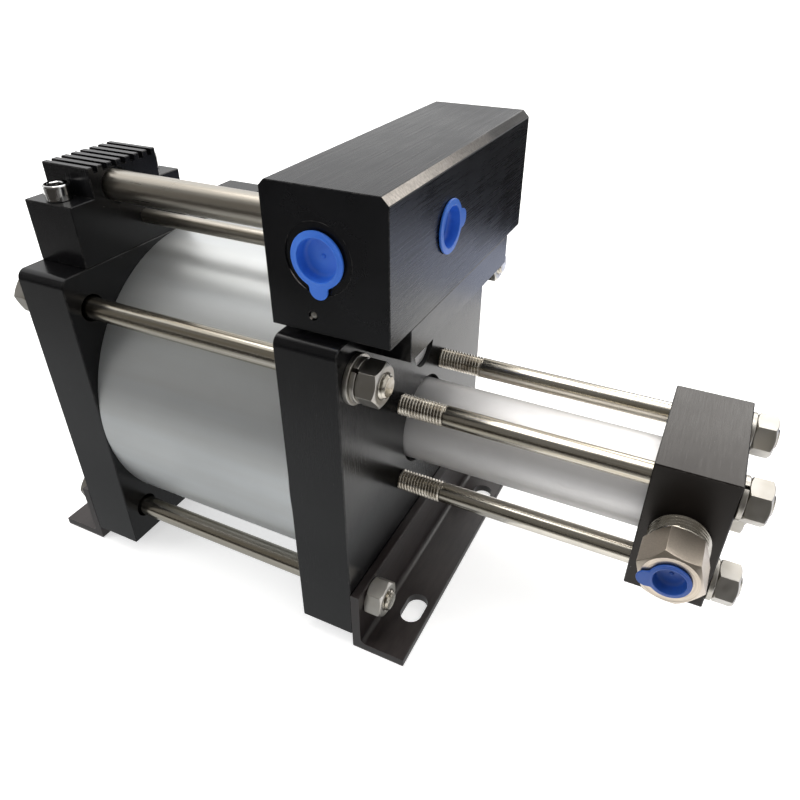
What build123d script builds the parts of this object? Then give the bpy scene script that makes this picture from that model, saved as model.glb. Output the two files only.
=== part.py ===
from build123d import *
from math import sqrt
import os

# Air pressure booster: an air cylinder between two square plates drives a small
# plunger in the gas barrel in front of it.
# Frame: +X runs from the air cylinder to the gas end block, +Z is up, and Z = 0 is the
# underside of the feet. The origin is midway between the two slots of the front foot.
# All sizes are in millimetres.

# Plates and drive cylinder
plate_size = 180.0
plate_thickness = 32.0
plate_gap = 126.0
plate_corner_radius = 5.0
plate_edge_break = 0.5
ground_clearance = 10.0
drive_wall = 10.0
barrel_edge_break = 0.5
spigot_height = 5.0
spigot_clearance = 0.1
# Tie rods, M12, with their nuts and washers
rod_radius = 6.0
rod_hole_radius = 7.5
rod_side_margin = 14.5
rod_top_margin = 20.5
rod_stand_out = 2.3
rod_end_chamfer = 1.0
thread_clearance = 0.05
nut_height = 10.0
nut_across_flats = 19.0
nut_face_share = 0.95
nut_cone_share = 0.06
washer_radius = 12.0
washer_thickness = 2.5
washer_hole_radius = 6.5
lock_washer_radius = 10.5
lock_washer_inner_radius = 6.3
lock_washer_thickness = 2.5
lock_washer_gap = 2.0
# Foot brackets
bracket_thickness = 5.0
bracket_above_rod = 10.8
bracket_hole_clearance = 0.6
foot_length = 31.3
bracket_bend_radius = 3.0
bracket_edge_break = 0.4
slot_from_plate = 21.5
slot_width = 12.4
slot_length = 21.0
slot_side_margin = 35.0
# Air piston
piston_thickness = 26.0
piston_clearance = 0.3
piston_chamfer = 1.0
piston_web = 13.0
piston_recess_radius = 22.0
seal_clearance = 0.06
wear_band_width = 8.0
wear_band_margin = 3.0
piston_seal_width = 5.0
piston_seal_margin = 4.0
ring_depth = 3.0
ring_side_clearance = 0.05
piston_spigot_radius = 9.0
piston_nut_height = 10.0
piston_nut_across_flats = 27.0
piston_washer_radius = 16.0
# Plunger
plunger_radius = 12.5
plunger_end_chamfer = 0.8
running_clearance = 0.05
bush_radius = 18.0
bush_length = 18.0
rod_seal_radius = 16.5
rod_seal_length = 5.0
gas_bore_radius = 16.0
head_clearance = 0.3
head_length = 22.0
head_chamfer = 0.8
head_spigot_radius = 8.0
head_spigot_length = 16.0
head_spigot_end_gap = 1.0
head_seal_width = 4.0
head_seal_depth = 2.4
head_seal_margin = 4.0
head_end_gap = 7.5
# Gas barrel and end block
gas_barrel_radius = 24.0
gas_barrel_reach = 128.4
gas_recess_radius = 26.2
gas_recess_depth = 5.0
gas_seat_depth = 14.0
seat_clearance = 0.05
barrel_seal_margin = 3.0
end_block_thickness = 37.3
end_block_width = 72.0
end_block_height = 76.6
end_block_edge_break = 0.5
end_seat_depth = 8.0
stud_spacing_y = 54.0
stud_spacing_z = 52.0
stud_shank_radius = 5.67
stud_hole_radius = 6.6
stud_grip = 20.0
stud_end_gap = 1.0
stud_front_thread = 24.0
stud_back_thread = 30.0
stud_stand_out = 1.3
# Gas fittings and their check valves
fitting_from_face = 18.7
fitting_thread_radius = 14.2
fitting_thread_chamfer = 0.6
fitting_collar = 8.1
fitting_hex_length = 19.5
fitting_hex_across_flats = 27.0
fitting_hex_turn = -11.0
fitting_depth = 10.0
fitting_passage_radius = 4.0
gasket_thickness = 1.5
gasket_inner_radius = 9.5
gas_port_radius = 8.33
gas_port_length = 9.0
valve_chamber_radius = 8.5
valve_chamber_depth = 10.0
gas_passage_radius = 5.0
poppet_radius = 7.0
poppet_thickness = 3.7
poppet_cone = 1.2
poppet_stem_radius = 2.6
poppet_lift = 2.0
poppet_end_gap = 1.0
rest_gap = 0.3
# Plugs that close the four ports for transport
mouth_clearance = 0.35
mouth_depth = 6.5
plug_shank_length = 6.0
plug_wall = 1.3
plug_flange_thickness = 1.2
plug_flange_overhang = 1.7
small_plug_flange_overhang = 0.9
plug_tab_width = 8.5
plug_tab_length = 5.0
plug_tab_round_share = 0.45
plug_clearance = 0.3
# Valve block and adapter
block_depth = 57.4
block_width = 165.6
block_height = 62.7
block_above_plate = 2.3
block_front_overhang = 21.65
block_front_chamfer = 3.4
block_back_chamfer = 2.9
block_edge_break = 0.3
adapter_washer_gap = 0.5
adapter_height = 16.1
air_port_radius = 10.48
air_port_drill_radius = 9.5
air_port_length = 9.0
spotface_radius = 15.5
spotface_depth = 0.6
air_port_setback = 10.2
air_port_above_block = 33.7
ball_radius = 2.15
ball_channel_setback = 14.5
ball_channel_above_block = 8.0
# Spool valve in the block
sleeve_radius = 15.0
spool_radius = 10.0
sleeve_fit = 0.03
sleeve_near_margin = 32.8
sleeve_far_margin = 26.8
sleeve_port_pitch = 17.0
sleeve_port_count = 4
first_port_from_sleeve_end = 8.0
port_groove_width = 7.0
port_groove_depth = 1.8
port_hole_radius = 2.6
o_ring_radius = 1.0
spool_start_gap = 1.0
spool_travel = 8.0
spool_end_gap = 3.0
spool_waist_radius = 6.5
spool_land_share = 0.75
cap_flange = 46.0
cap_flange_thickness = 8.0
cap_corner_radius = 5.0
cap_edge_break = 0.8
cap_screw_spacing = 34.0
# Rear block and the two tubes from it to the valve block
rear_block_near_margin = 17.0
rear_block_width = 77.7
rear_block_height = 32.0
rear_block_edge_break = 0.4
rear_screw_near_margin = 8.0
rear_screw_far_margin = 7.7
tower_near_margin = 32.5
tower_width = 47.0
tower_height = 47.0
fin_count = 8
fin_depth = 3.2
air_tube_radius = 8.0
air_tube_wall = 1.5
air_tube_side_margin = 48.0
air_tube_above_plate = 35.0
air_tube_ring_radius = 9.4
air_tube_ring_depth = 1.5
pilot_tube_radius = 4.0
pilot_tube_wall = 1.0
pilot_tube_side_margin = 64.0
pilot_tube_above_plate = 14.0
tube_seat_depth = 9.0
# Pilot valves in the plates
pilot_above_axis = 47.6
pilot_cap_radius = 11.8
pilot_cap_recess = 2.7
pilot_cap_thickness = 6.0
pilot_cap_edge_break = 0.4
pilot_cap_key_radius = 4.6
pilot_chamber_radius = 8.0
pilot_chamber_floor = 10.0
pilot_pin_radius = 3.0
pilot_pin_travel = 4.2
pilot_collar_thickness = 4.0
pilot_guide_length = 6.0
# Socket screws: thread radius, head radius and head height
m8_screw = (4.0, 6.5, 8.0)
m6_screw = (3.0, 5.0, 6.0)
m5_screw = (2.5, 4.25, 5.0)
screw_clearance = 0.3
screw_end_gap = 1.0
screw_grip = 14.0
screw_head_break = 0.5
screw_key_share = 0.87
adapter_screw_margin = 7.0
adapter_screw_drop = 7.5
adapter_screw_grip = 12.0
block_screw_margin = 18.0
# Drilled channels
channel_radius = 4.0
pilot_channel_radius = 2.0
channel_overlap = 2.0
front_channel_drop = 22.0
rear_channel_drop = 26.0
pilot_channel_y = 30.0
pilot_entry_depth = 12.0
pilot_entry_rise = 4.0
# Springs
spring_turns = 4
pilot_spring_wire = 0.8
pilot_spring_gap = 2.4
poppet_spring_wire = 0.6
poppet_spring_gap = 1.7

# Stations worked out from the sizes above
front_face = -slot_from_plate
front_inner = front_face - plate_thickness
rear_inner = front_inner - plate_gap
rear_face = rear_inner - plate_thickness
half_plate = plate_size / 2
axis_height = ground_clearance + half_plate
plate_top = ground_clearance + plate_size
drive_bore_radius = half_plate - drive_wall
chamber_front = front_inner - spigot_height
chamber_rear = rear_inner + spigot_height
rod_places = [
    (side * (half_plate - rod_side_margin), axis_height + level * (half_plate - rod_top_margin))
    for side in (-1, 1) for level in (-1, 1)
]
top_rods = [place for place in rod_places if place[1] > axis_height]
bottom_rods = [place for place in rod_places if place[1] < axis_height]
bracket_height = bottom_rods[0][1] + bracket_above_rod
slot_spacing = plate_size - 2 * slot_side_margin
half_adapter = half_plate - rod_side_margin - washer_radius - adapter_washer_gap
adapter_screw_y = half_adapter - adapter_screw_margin
block_screw_y = half_adapter - block_screw_margin
stud_places = [
    (side * stud_spacing_y / 2, axis_height + level * stud_spacing_z / 2)
    for side in (-1, 1) for level in (-1, 1)
]
gas_end = front_face + gas_barrel_reach
end_block_front = gas_end + end_block_thickness
fitting_x = gas_end + fitting_from_face
pilot_height = axis_height + pilot_above_axis
pilot_pin_reach = pilot_pin_travel + rest_gap
piston_rear = chamber_rear + pilot_pin_reach + rest_gap
piston_front = piston_rear + piston_thickness
piston_web_rear = piston_front - piston_web
piston_stroke = chamber_front - pilot_pin_reach - rest_gap - piston_front
head_front = gas_end - head_end_gap - piston_stroke
head_rear = head_front - head_length
block_bottom = plate_top + block_above_plate
block_top = block_bottom + block_height
block_front = front_face + block_front_overhang
block_back = block_front - block_depth
near_face_y = -block_width / 2
far_face_y = block_width / 2
adapter_bottom = block_bottom - adapter_height
adapter_middle = front_face + block_front_overhang / 2
adapter_channel_height = adapter_bottom + adapter_height / 2
adapter_screw_height = plate_top - adapter_screw_drop
valve_x = front_face - air_port_setback
valve_height = block_bottom + air_port_above_block
sleeve_start = near_face_y + sleeve_near_margin
sleeve_end = far_face_y - sleeve_far_margin
sleeve_length = sleeve_end - sleeve_start
sleeve_port_ys = [
    sleeve_start + first_port_from_sleeve_end + sleeve_port_pitch * count
    for count in range(sleeve_port_count)
]
exhaust_y = sleeve_port_ys[1]
front_channel_y = sleeve_port_ys[2]
pilot_port_y = sleeve_end - port_groove_width / 2
spool_start = sleeve_start + spool_start_gap
spool_length = sleeve_length - spool_start_gap - spool_travel - spool_end_gap
rear_block_middle = (rear_inner + rear_face) / 2
rear_block_near_y = rear_block_near_margin - half_plate
rear_block_far_y = rear_block_near_y + rear_block_width
tower_near_y = tower_near_margin - half_plate
tower_top = plate_top + tower_height
air_tube_y = air_tube_side_margin - half_plate
air_tube_height = plate_top + air_tube_above_plate
pilot_tube_y = pilot_tube_side_margin - half_plate
pilot_tube_height = plate_top + pilot_tube_above_plate

along_x = (1, 0, 0)
back_x = (-1, 0, 0)
to_near = (0, -1, 0)
to_far = (0, 1, 0)
up = (0, 0, 1)
down = (0, 0, -1)


def bar(start, direction, length, radius, mode=Mode.ADD):
    """Round bar, or a drilled hole, from a point along a direction."""
    with Locations(Plane(origin=start, z_dir=direction)):
        Cylinder(radius, length, align=(Align.CENTER, Align.CENTER, Align.MIN), mode=mode)


def hole(start, direction, length, radius):
    """Drilled round hole from a point along a direction."""
    bar(start, direction, length, radius, Mode.SUBTRACT)


def drilling(start, end, radius):
    """Slanted drilled channel between two points, its mouth cut through the surface."""
    first = Vector(*start)
    run = Vector(*end) - first
    mouth = first - run.normalized() * radius
    hole(tuple(mouth), tuple(run), run.length + radius, radius)


def block(x_span, y_span, z_span, mode=Mode.ADD):
    """Rectangular block given by its limits along each axis."""
    spans = (x_span, y_span, z_span)
    middle = [(low + high) / 2 for low, high in spans]
    with Locations(tuple(middle)):
        Box(*[high - low for low, high in spans], mode=mode)


def eased_block(x_span, y_span, z_span, edge_break):
    """Rectangular block with all its edges broken."""
    with BuildPart() as made:
        block(x_span, y_span, z_span)
        chamfer(made.edges(), edge_break)
    return made.part


def ring(start, direction, width, outer, inner):
    """Plain ring of rectangular section."""
    bar(start, direction, width, outer)
    hole(start, direction, width, inner)


def o_ring(centre, direction, radius, section_radius):
    """Round-section ring, its middle circle of the given radius."""
    with Locations(Plane(origin=centre, z_dir=direction)):
        Torus(radius, section_radius)


def groove(start, direction, width, outer, floor):
    """Rectangular groove turned into the outside of a round piece."""
    with BuildSketch(Plane(origin=start, z_dir=direction)) as band:
        Circle(outer)
        Circle(floor, mode=Mode.SUBTRACT)
    extrude(band.sketch, amount=width, mode=Mode.SUBTRACT)


def circles(piece):
    """The round edges of a piece."""
    return piece.edges().filter_by(GeomType.CIRCLE)


def hex_nut(start, direction, height, across_flats, bore, turn=0.0):
    """Hexagon nut with both ends turned to a round face."""
    corner_radius = across_flats / sqrt(3)
    turned_radius = across_flats / 2 * nut_face_share
    turned_depth = across_flats * nut_cone_share
    with BuildPart() as nut:
        with BuildSketch():
            RegularPolygon(corner_radius, 6, rotation=turn)
            if bore > 0:
                Circle(bore, mode=Mode.SUBTRACT)
        extrude(amount=height)
        with BuildSketch(Plane.XZ):
            with BuildLine():
                Polyline(
                    (0, 0),
                    (turned_radius, 0),
                    (corner_radius, turned_depth),
                    (corner_radius, height - turned_depth),
                    (turned_radius, height),
                    (0, height),
                    (0, 0),
                )
            make_face()
        revolve(axis=Axis.Z, mode=Mode.INTERSECT)
    return Plane(origin=start, z_dir=direction) * nut.part


def socket_screw(start, direction, grip, screw):
    """Socket head screw: the head stands back from the seat, the shank runs along the direction."""
    thread_radius, head_radius, head_height = screw
    with BuildPart() as one:
        bar((0, 0, -head_height), up, head_height, head_radius)
        chamfer(circles(one).sort_by(Axis.Z)[0], screw_head_break)
        bar((0, 0, 0), up, grip, thread_radius)
        chamfer(circles(one).sort_by(Axis.Z)[-1], screw_head_break)
        with BuildSketch(Plane.XY.offset(-head_height)):
            RegularPolygon(thread_radius * screw_key_share, 6)
        extrude(amount=head_height / 2, mode=Mode.SUBTRACT)
    return Plane(origin=start, z_dir=direction) * one.part


def coil_spring(start, direction, length, radius, wire):
    """Compression spring of round wire, standing on its seat."""
    coil_height = length - wire * 2 - rest_gap
    with BuildPart() as spring:
        with BuildLine(Plane.XY.offset(wire + rest_gap / 2)) as path:
            Helix(coil_height / spring_turns, coil_height, radius)
        with BuildSketch(Plane(origin=path.line @ 0, z_dir=path.line % 0)):
            Circle(wire)
        sweep(is_frenet=True)
    return Plane(origin=start, z_dir=direction) * spring.part


def save(piece, name):
    """Names a finished piece and writes it to its own file."""
    piece.label = name
    export_step(piece, "parts/" + name + ".step")


def threaded_port(mouth, direction, radius, length):
    """Port for a pipe thread: a smooth mouth for the transport plug, then the threaded wall."""
    hole(mouth, direction, mouth_depth, radius + mouth_clearance)
    hole(mouth, direction, mouth_depth + length, radius)


def screw_hole(seat, direction, depth, screw):
    """Clearance hole for a socket screw, counterbored for its head."""
    thread_radius, head_radius, head_height = screw
    hole(seat, direction, depth, thread_radius + screw_clearance)
    hole(seat, direction, head_height + screw_clearance, head_radius + screw_clearance)


def pilot_bore(face_x, direction, seat_x):
    """Bore for a pilot valve, from a plate's outer face through to the air chamber."""
    mouth = (face_x, 0, pilot_height)
    thickness = abs(seat_x - face_x)
    hole(mouth, direction, pilot_cap_recess + pilot_cap_thickness, pilot_cap_radius + seat_clearance)
    hole(mouth, direction, thickness - pilot_chamber_floor, pilot_chamber_radius)
    hole(mouth, direction, thickness, pilot_pin_radius + running_clearance)


def plate(inner_x, outer_x, outward):
    """Square end plate with its spigot for the drive barrel and its rod holes."""
    inward = (-outward[0], 0, 0)
    with BuildPart() as made:
        block(
            (min(inner_x, outer_x), max(inner_x, outer_x)),
            (-half_plate, half_plate),
            (ground_clearance, plate_top),
        )
        fillet(made.edges().filter_by(Axis.X).group_by(Axis.Z)[-1], plate_corner_radius)
        flat_faces = made.faces().sort_by(Axis.X)
        chamfer(flat_faces[0].edges() + flat_faces[-1].edges(), plate_edge_break)
        bar((inner_x, 0, axis_height), inward, spigot_height, drive_bore_radius - spigot_clearance)
        groove(
            (inner_x + inward[0] * spigot_height / 4, 0, axis_height),
            inward,
            spigot_height / 2,
            drive_bore_radius - spigot_clearance,
            drive_bore_radius - ring_depth,
        )
        for y, z in rod_places:
            hole((inner_x, y, z), outward, plate_thickness, rod_hole_radius)
    return made.part


os.makedirs("parts", exist_ok=True)

# Front plate: carries the gas barrel, its studs, the plunger bush and the front pilot valve
front_blank = plate(front_inner, front_face, along_x)
with BuildPart() as front_plate:
    add(front_blank)
    gas_mouth = (front_face, 0, axis_height)
    hole(gas_mouth, back_x, gas_recess_depth, gas_recess_radius)
    hole(gas_mouth, back_x, gas_seat_depth, gas_barrel_radius + seat_clearance)
    hole(gas_mouth, back_x, gas_seat_depth + rod_seal_length, rod_seal_radius)
    hole((chamber_front, 0, axis_height), along_x, bush_length, bush_radius)
    for y, z in stud_places:
        hole((front_face, y, z), back_x, stud_grip + stud_end_gap, rod_radius + thread_clearance)
    pilot_bore(front_face, back_x, chamber_front)
    for side in (-1, 1):
        screw_seat = (front_inner, side * adapter_screw_y, adapter_screw_height)
        screw_hole(screw_seat, along_x, plate_thickness, m6_screw)
    drilling(
        (front_face, front_channel_y, adapter_channel_height),
        (chamber_front, front_channel_y, plate_top - front_channel_drop),
        channel_radius,
    )
    drilling(
        (front_face, pilot_channel_y, adapter_channel_height),
        (front_inner + pilot_entry_depth, 0, pilot_height + pilot_entry_rise),
        pilot_channel_radius,
    )
save(front_plate.part, "front_plate")

# Rear plate: carries the rear block and the rear pilot valve
rear_screw_ys = (rear_block_near_y + rear_screw_near_margin, rear_block_far_y - rear_screw_far_margin)
rear_blank = plate(rear_inner, rear_face, back_x)
with BuildPart() as rear_plate:
    add(rear_blank)
    pilot_bore(rear_face, along_x, chamber_rear)
    for y in rear_screw_ys:
        thread_depth = screw_grip + screw_end_gap
        hole((rear_block_middle, y, plate_top), down, thread_depth, m8_screw[0] + thread_clearance)
    hole((rear_block_middle, air_tube_y, plate_top), down, rear_channel_drop + channel_radius, channel_radius)
    hole(
        (chamber_rear, air_tube_y, plate_top - rear_channel_drop),
        back_x,
        chamber_rear - rear_block_middle,
        channel_radius,
    )
    drilling(
        (rear_block_middle, pilot_tube_y, plate_top),
        (rear_block_middle, 0, pilot_height + pilot_entry_rise),
        pilot_channel_radius,
    )
save(rear_plate.part, "rear_plate")

# Drive barrel
with BuildPart() as drive_barrel:
    ring((rear_inner, 0, axis_height), along_x, plate_gap, half_plate, drive_bore_radius)
    chamfer(circles(drive_barrel), barrel_edge_break)
save(drive_barrel.part, "drive_barrel")

# Seals of the drive barrel, one on each plate's spigot
barrel_seal_width = spigot_height / 2 - 2 * ring_side_clearance
with BuildPart() as barrel_o_rings:
    for x in (chamber_front + spigot_height / 4, rear_inner + spigot_height / 4):
        start = (x + ring_side_clearance, 0, axis_height)
        ring(start, along_x, barrel_seal_width, drive_bore_radius, drive_bore_radius - ring_depth)
save(barrel_o_rings.part, "barrel_o_rings")

# Tie rods, their nuts and washers
nut_seat = washer_thickness + lock_washer_thickness
rod_front = front_face + nut_seat + nut_height + rod_stand_out
rod_back = rear_face - nut_seat - nut_height - rod_stand_out
with BuildPart() as tie_rods:
    for y, z in rod_places:
        bar((rod_back, y, z), along_x, rod_front - rod_back, rod_radius)
    chamfer(circles(tie_rods), rod_end_chamfer)
save(tie_rods.part, "tie_rods")

nut_bore = rod_radius + thread_clearance
outer_faces = ((front_face, along_x), (rear_face, back_x))
rod_nuts = []
for face_x, outward in outer_faces:
    for y, z in rod_places:
        nut_start = (face_x + outward[0] * nut_seat, y, z)
        rod_nuts.append(hex_nut(nut_start, outward, nut_height, nut_across_flats, nut_bore))
with BuildPart() as tie_rod_nuts:
    add(rod_nuts)
save(tie_rod_nuts.part, "tie_rod_nuts")

with BuildPart() as tie_rod_washers:
    for face_x, outward in outer_faces:
        for y, z in top_rods:
            ring((face_x, y, z), outward, washer_thickness, washer_radius, washer_hole_radius)
save(tie_rod_washers.part, "tie_rod_washers")


def lock_washer(start, direction, thickness):
    """Split spring washer: a square-section ring cut through at one place."""
    seat = Plane(origin=start, z_dir=direction)
    with BuildPart() as split:
        with BuildSketch(seat):
            Circle(lock_washer_radius)
            Circle(lock_washer_inner_radius, mode=Mode.SUBTRACT)
            with Locations((0, lock_washer_radius)):
                Rectangle(lock_washer_gap, lock_washer_radius, mode=Mode.SUBTRACT)
        extrude(amount=thickness)
    return split.part


rod_lock_washers = []
for face_x, outward in outer_faces:
    washer_x = face_x + outward[0] * washer_thickness
    for y, z in top_rods:
        rod_lock_washers.append(lock_washer((washer_x, y, z), outward, lock_washer_thickness))
with BuildPart() as tie_rod_lock_washers:
    add(rod_lock_washers)
save(tie_rod_lock_washers.part, "tie_rod_lock_washers")


def foot_bracket(face_x, outward):
    """Angle bracket under one plate: an upright leg held by the lower rods and a slotted foot."""
    heel = Plane(origin=(face_x, 0, 0), x_dir=outward, z_dir=(0, -outward[0], 0))
    with BuildPart() as angle:
        with BuildSketch(heel) as outline:
            with BuildLine():
                Polyline(
                    (0, 0),
                    (foot_length, 0),
                    (foot_length, bracket_thickness),
                    (bracket_thickness, bracket_thickness),
                    (bracket_thickness, bracket_height),
                    (0, bracket_height),
                    (0, 0),
                )
            make_face()
            corner = outline.vertices().sort_by_distance((bracket_thickness, bracket_thickness))[0]
            fillet(corner, bracket_bend_radius)
        extrude(amount=half_plate, both=True)
        chamfer(angle.edges().filter_by(Axis.Y), bracket_edge_break)
        slot_x = face_x + outward[0] * slot_from_plate
        with BuildSketch(Plane.XY):
            with Locations((slot_x, -slot_spacing / 2), (slot_x, slot_spacing / 2)):
                SlotOverall(slot_length, slot_width, rotation=90)
        extrude(amount=bracket_thickness, mode=Mode.SUBTRACT)
        for y, z in bottom_rods:
            hole((face_x, y, z), outward, bracket_thickness, rod_radius + bracket_hole_clearance)
    return angle.part


save(foot_bracket(front_face, along_x), "front_foot_bracket")
save(foot_bracket(rear_face, back_x), "rear_foot_bracket")

# Air piston with its seal, wear band and nut
band_start = piston_rear + wear_band_margin
seal_start = piston_front - piston_seal_margin - piston_seal_width
with BuildPart() as air_piston:
    piston_back = (piston_rear, 0, axis_height)
    bar(piston_back, along_x, piston_thickness, drive_bore_radius - piston_clearance)
    chamfer(circles(air_piston), piston_chamfer)
    hole(piston_back, along_x, piston_thickness - piston_web, piston_recess_radius)
    hole(piston_back, along_x, piston_thickness, piston_spigot_radius + seat_clearance)
    for x, width in ((band_start, wear_band_width), (seal_start, piston_seal_width)):
        groove((x, 0, axis_height), along_x, width, drive_bore_radius, drive_bore_radius - ring_depth)
save(air_piston.part, "air_piston")


def piston_ring(start_x, width):
    """Ring in one of the air piston's grooves, running in the drive barrel."""
    with BuildPart() as made:
        start = (start_x + ring_side_clearance, 0, axis_height)
        inner = drive_bore_radius - ring_depth
        ring(start, along_x, width - 2 * ring_side_clearance, drive_bore_radius - seal_clearance, inner)
    return made.part


save(piston_ring(band_start, wear_band_width), "piston_wear_band")
save(piston_ring(seal_start, piston_seal_width), "piston_seal")

with BuildPart() as piston_washer:
    web_face = (piston_web_rear, 0, axis_height)
    washer_bore = piston_spigot_radius + seat_clearance
    ring(web_face, back_x, washer_thickness, piston_washer_radius, washer_bore)
save(piston_washer.part, "piston_washer")

piston_nut = hex_nut(
    (piston_web_rear - washer_thickness, 0, axis_height),
    back_x,
    piston_nut_height,
    piston_nut_across_flats,
    piston_spigot_radius + thread_clearance,
)
save(piston_nut, "piston_nut")

# Plunger: the rod from the air piston to the head in the gas barrel
with BuildPart() as plunger_rod:
    nut_end = piston_web_rear - washer_thickness - piston_nut_height
    bar((nut_end, 0, axis_height), along_x, piston_front - nut_end, piston_spigot_radius)
    bar((piston_front, 0, axis_height), along_x, head_rear - piston_front, plunger_radius)
    bar((head_rear, 0, axis_height), along_x, head_spigot_length, head_spigot_radius)
    rod_rims = circles(plunger_rod).sort_by(Axis.X)
    chamfer([rod_rims[0], rod_rims[-1]], plunger_end_chamfer)
save(plunger_rod.part, "plunger_rod")

head_grooves = [head_rear + head_seal_margin, head_front - head_seal_margin - head_seal_width]
with BuildPart() as plunger_head:
    head_back = (head_rear, 0, axis_height)
    bar(head_back, along_x, head_length, gas_bore_radius - head_clearance)
    chamfer(circles(plunger_head), head_chamfer)
    socket_length = head_spigot_length + head_spigot_end_gap
    hole(head_back, along_x, socket_length, head_spigot_radius + thread_clearance)
    for x in head_grooves:
        seal_floor = gas_bore_radius - head_seal_depth
        groove((x, 0, axis_height), along_x, head_seal_width, gas_bore_radius, seal_floor)
save(plunger_head.part, "plunger_head")

seal_width = head_seal_width - 2 * ring_side_clearance
with BuildPart() as plunger_seals:
    for x in head_grooves:
        ring(
            (x + ring_side_clearance, 0, axis_height),
            along_x,
            seal_width,
            gas_bore_radius - seal_clearance,
            gas_bore_radius - head_seal_depth,
        )
save(plunger_seals.part, "plunger_seals")

# Bush and seal that guide the plunger rod in the front plate
rod_bore_radius = plunger_radius + running_clearance
with BuildPart() as rod_bush:
    ring((chamber_front, 0, axis_height), along_x, bush_length, bush_radius, rod_bore_radius)
save(rod_bush.part, "rod_bush")

with BuildPart() as rod_seal:
    ring(
        (front_face - gas_seat_depth - rod_seal_length, 0, axis_height),
        along_x,
        rod_seal_length - ring_side_clearance,
        rod_seal_radius,
        rod_bore_radius,
    )
save(rod_seal.part, "rod_seal")

# Gas barrel, its end seals, the end block and the four studs that clamp it
gas_barrel_start = front_face - gas_seat_depth
gas_barrel_end = gas_end + end_seat_depth
gas_barrel_grooves = [
    gas_barrel_start + barrel_seal_margin,
    gas_barrel_end - barrel_seal_margin - head_seal_width,
]
gas_seal_floor = gas_barrel_radius - head_seal_depth
with BuildPart() as gas_barrel:
    barrel_back = (gas_barrel_start, 0, axis_height)
    ring(barrel_back, along_x, gas_barrel_end - gas_barrel_start, gas_barrel_radius, gas_bore_radius)
    chamfer(circles(gas_barrel), barrel_edge_break)
    for x in gas_barrel_grooves:
        groove((x, 0, axis_height), along_x, head_seal_width, gas_barrel_radius, gas_seal_floor)
save(gas_barrel.part, "gas_barrel")

with BuildPart() as gas_barrel_seals:
    for x in gas_barrel_grooves:
        seal_back = (x + ring_side_clearance, 0, axis_height)
        ring(seal_back, along_x, seal_width, gas_barrel_radius, gas_seal_floor + seal_clearance)
save(gas_barrel_seals.part, "gas_barrel_seals")

half_width = end_block_width / 2
half_height = end_block_height / 2
end_block_blank = eased_block(
    (gas_end, end_block_front),
    (-half_width, half_width),
    (axis_height - half_height, axis_height + half_height),
    end_block_edge_break,
)
with BuildPart() as gas_end_block:
    add(end_block_blank)
    barrel_mouth = (gas_end, 0, axis_height)
    hole(barrel_mouth, along_x, end_seat_depth, gas_barrel_radius + seat_clearance)
    hole(barrel_mouth, along_x, fitting_from_face + gas_passage_radius, valve_chamber_radius)
    for y, z in stud_places:
        hole((gas_end, y, z), along_x, end_block_thickness, stud_hole_radius)
    for side in (-1, 1):
        face = (fitting_x, side * half_width, axis_height)
        inward = (0, -side, 0)
        socket_depth = fitting_depth + gasket_thickness
        hole(face, inward, socket_depth, fitting_thread_radius + thread_clearance)
        hole(face, inward, socket_depth + valve_chamber_depth, valve_chamber_radius)
        hole(face, inward, half_width, gas_passage_radius)
save(gas_end_block.part, "gas_end_block")

stud_start = front_face - stud_grip
stud_end = end_block_front + lock_washer_thickness + nut_height + stud_stand_out
with BuildPart() as gas_studs:
    for y, z in stud_places:
        bar((stud_start, y, z), along_x, stud_grip + stud_front_thread, rod_radius)
        bar((front_face, y, z), along_x, stud_end - stud_back_thread - front_face, stud_shank_radius)
        bar((stud_end - stud_back_thread, y, z), along_x, stud_back_thread, rod_radius)
    stud_rims = circles(gas_studs).group_by(Axis.X)
    chamfer(stud_rims[0] + stud_rims[-1], rod_end_chamfer)
save(gas_studs.part, "gas_studs")

stud_lock_washers = [
    lock_washer((end_block_front, y, z), along_x, lock_washer_thickness) for y, z in stud_places
]
with BuildPart() as gas_stud_lock_washers:
    add(stud_lock_washers)
save(gas_stud_lock_washers.part, "gas_stud_lock_washers")

stud_nut_x = end_block_front + lock_washer_thickness
stud_nuts = [
    hex_nut((stud_nut_x, y, z), along_x, nut_height, nut_across_flats, nut_bore) for y, z in stud_places
]
with BuildPart() as gas_stud_nuts:
    add(stud_nuts)
save(gas_stud_nuts.part, "gas_stud_nuts")


def gas_fitting(side):
    """Screwed fitting with a pipe port outside and the valve's seat at its inner end."""
    face_y = side * half_width
    outward = (0, side, 0)
    inward = (0, -side, 0)
    hex_start = face_y + side * fitting_collar
    mouth = (fitting_x, hex_start + side * fitting_hex_length, axis_height)
    inner_end = (fitting_x, face_y - side * fitting_depth, axis_height)
    length = fitting_hex_length + fitting_collar + fitting_depth
    hexagon = hex_nut(
        (fitting_x, hex_start, axis_height),
        outward,
        fitting_hex_length,
        fitting_hex_across_flats,
        0,
        fitting_hex_turn,
    )
    with BuildPart() as made:
        bar(inner_end, outward, fitting_depth + fitting_collar, fitting_thread_radius)
        chamfer(circles(made), fitting_thread_chamfer)
        add(hexagon)
        threaded_port(mouth, inward, gas_port_radius, gas_port_length)
        hole(mouth, inward, length, fitting_passage_radius)
    return made.part


def fitting_gasket(side):
    """Flat sealing ring between a fitting's inner end and the floor of its socket."""
    start = (fitting_x, side * (half_width - fitting_depth), axis_height)
    with BuildPart() as made:
        ring(start, (0, -side, 0), gasket_thickness, fitting_thread_radius, gasket_inner_radius)
    return made.part


# Check valves: both poppets open towards +Y, the inlet on its fitting's end and the
# outlet on a seat in the end block
valve_room = gasket_thickness + valve_chamber_depth
spring_seat = rest_gap + poppet_thickness
poppet_stem_length = valve_room - spring_seat - poppet_lift - poppet_end_gap


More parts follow.
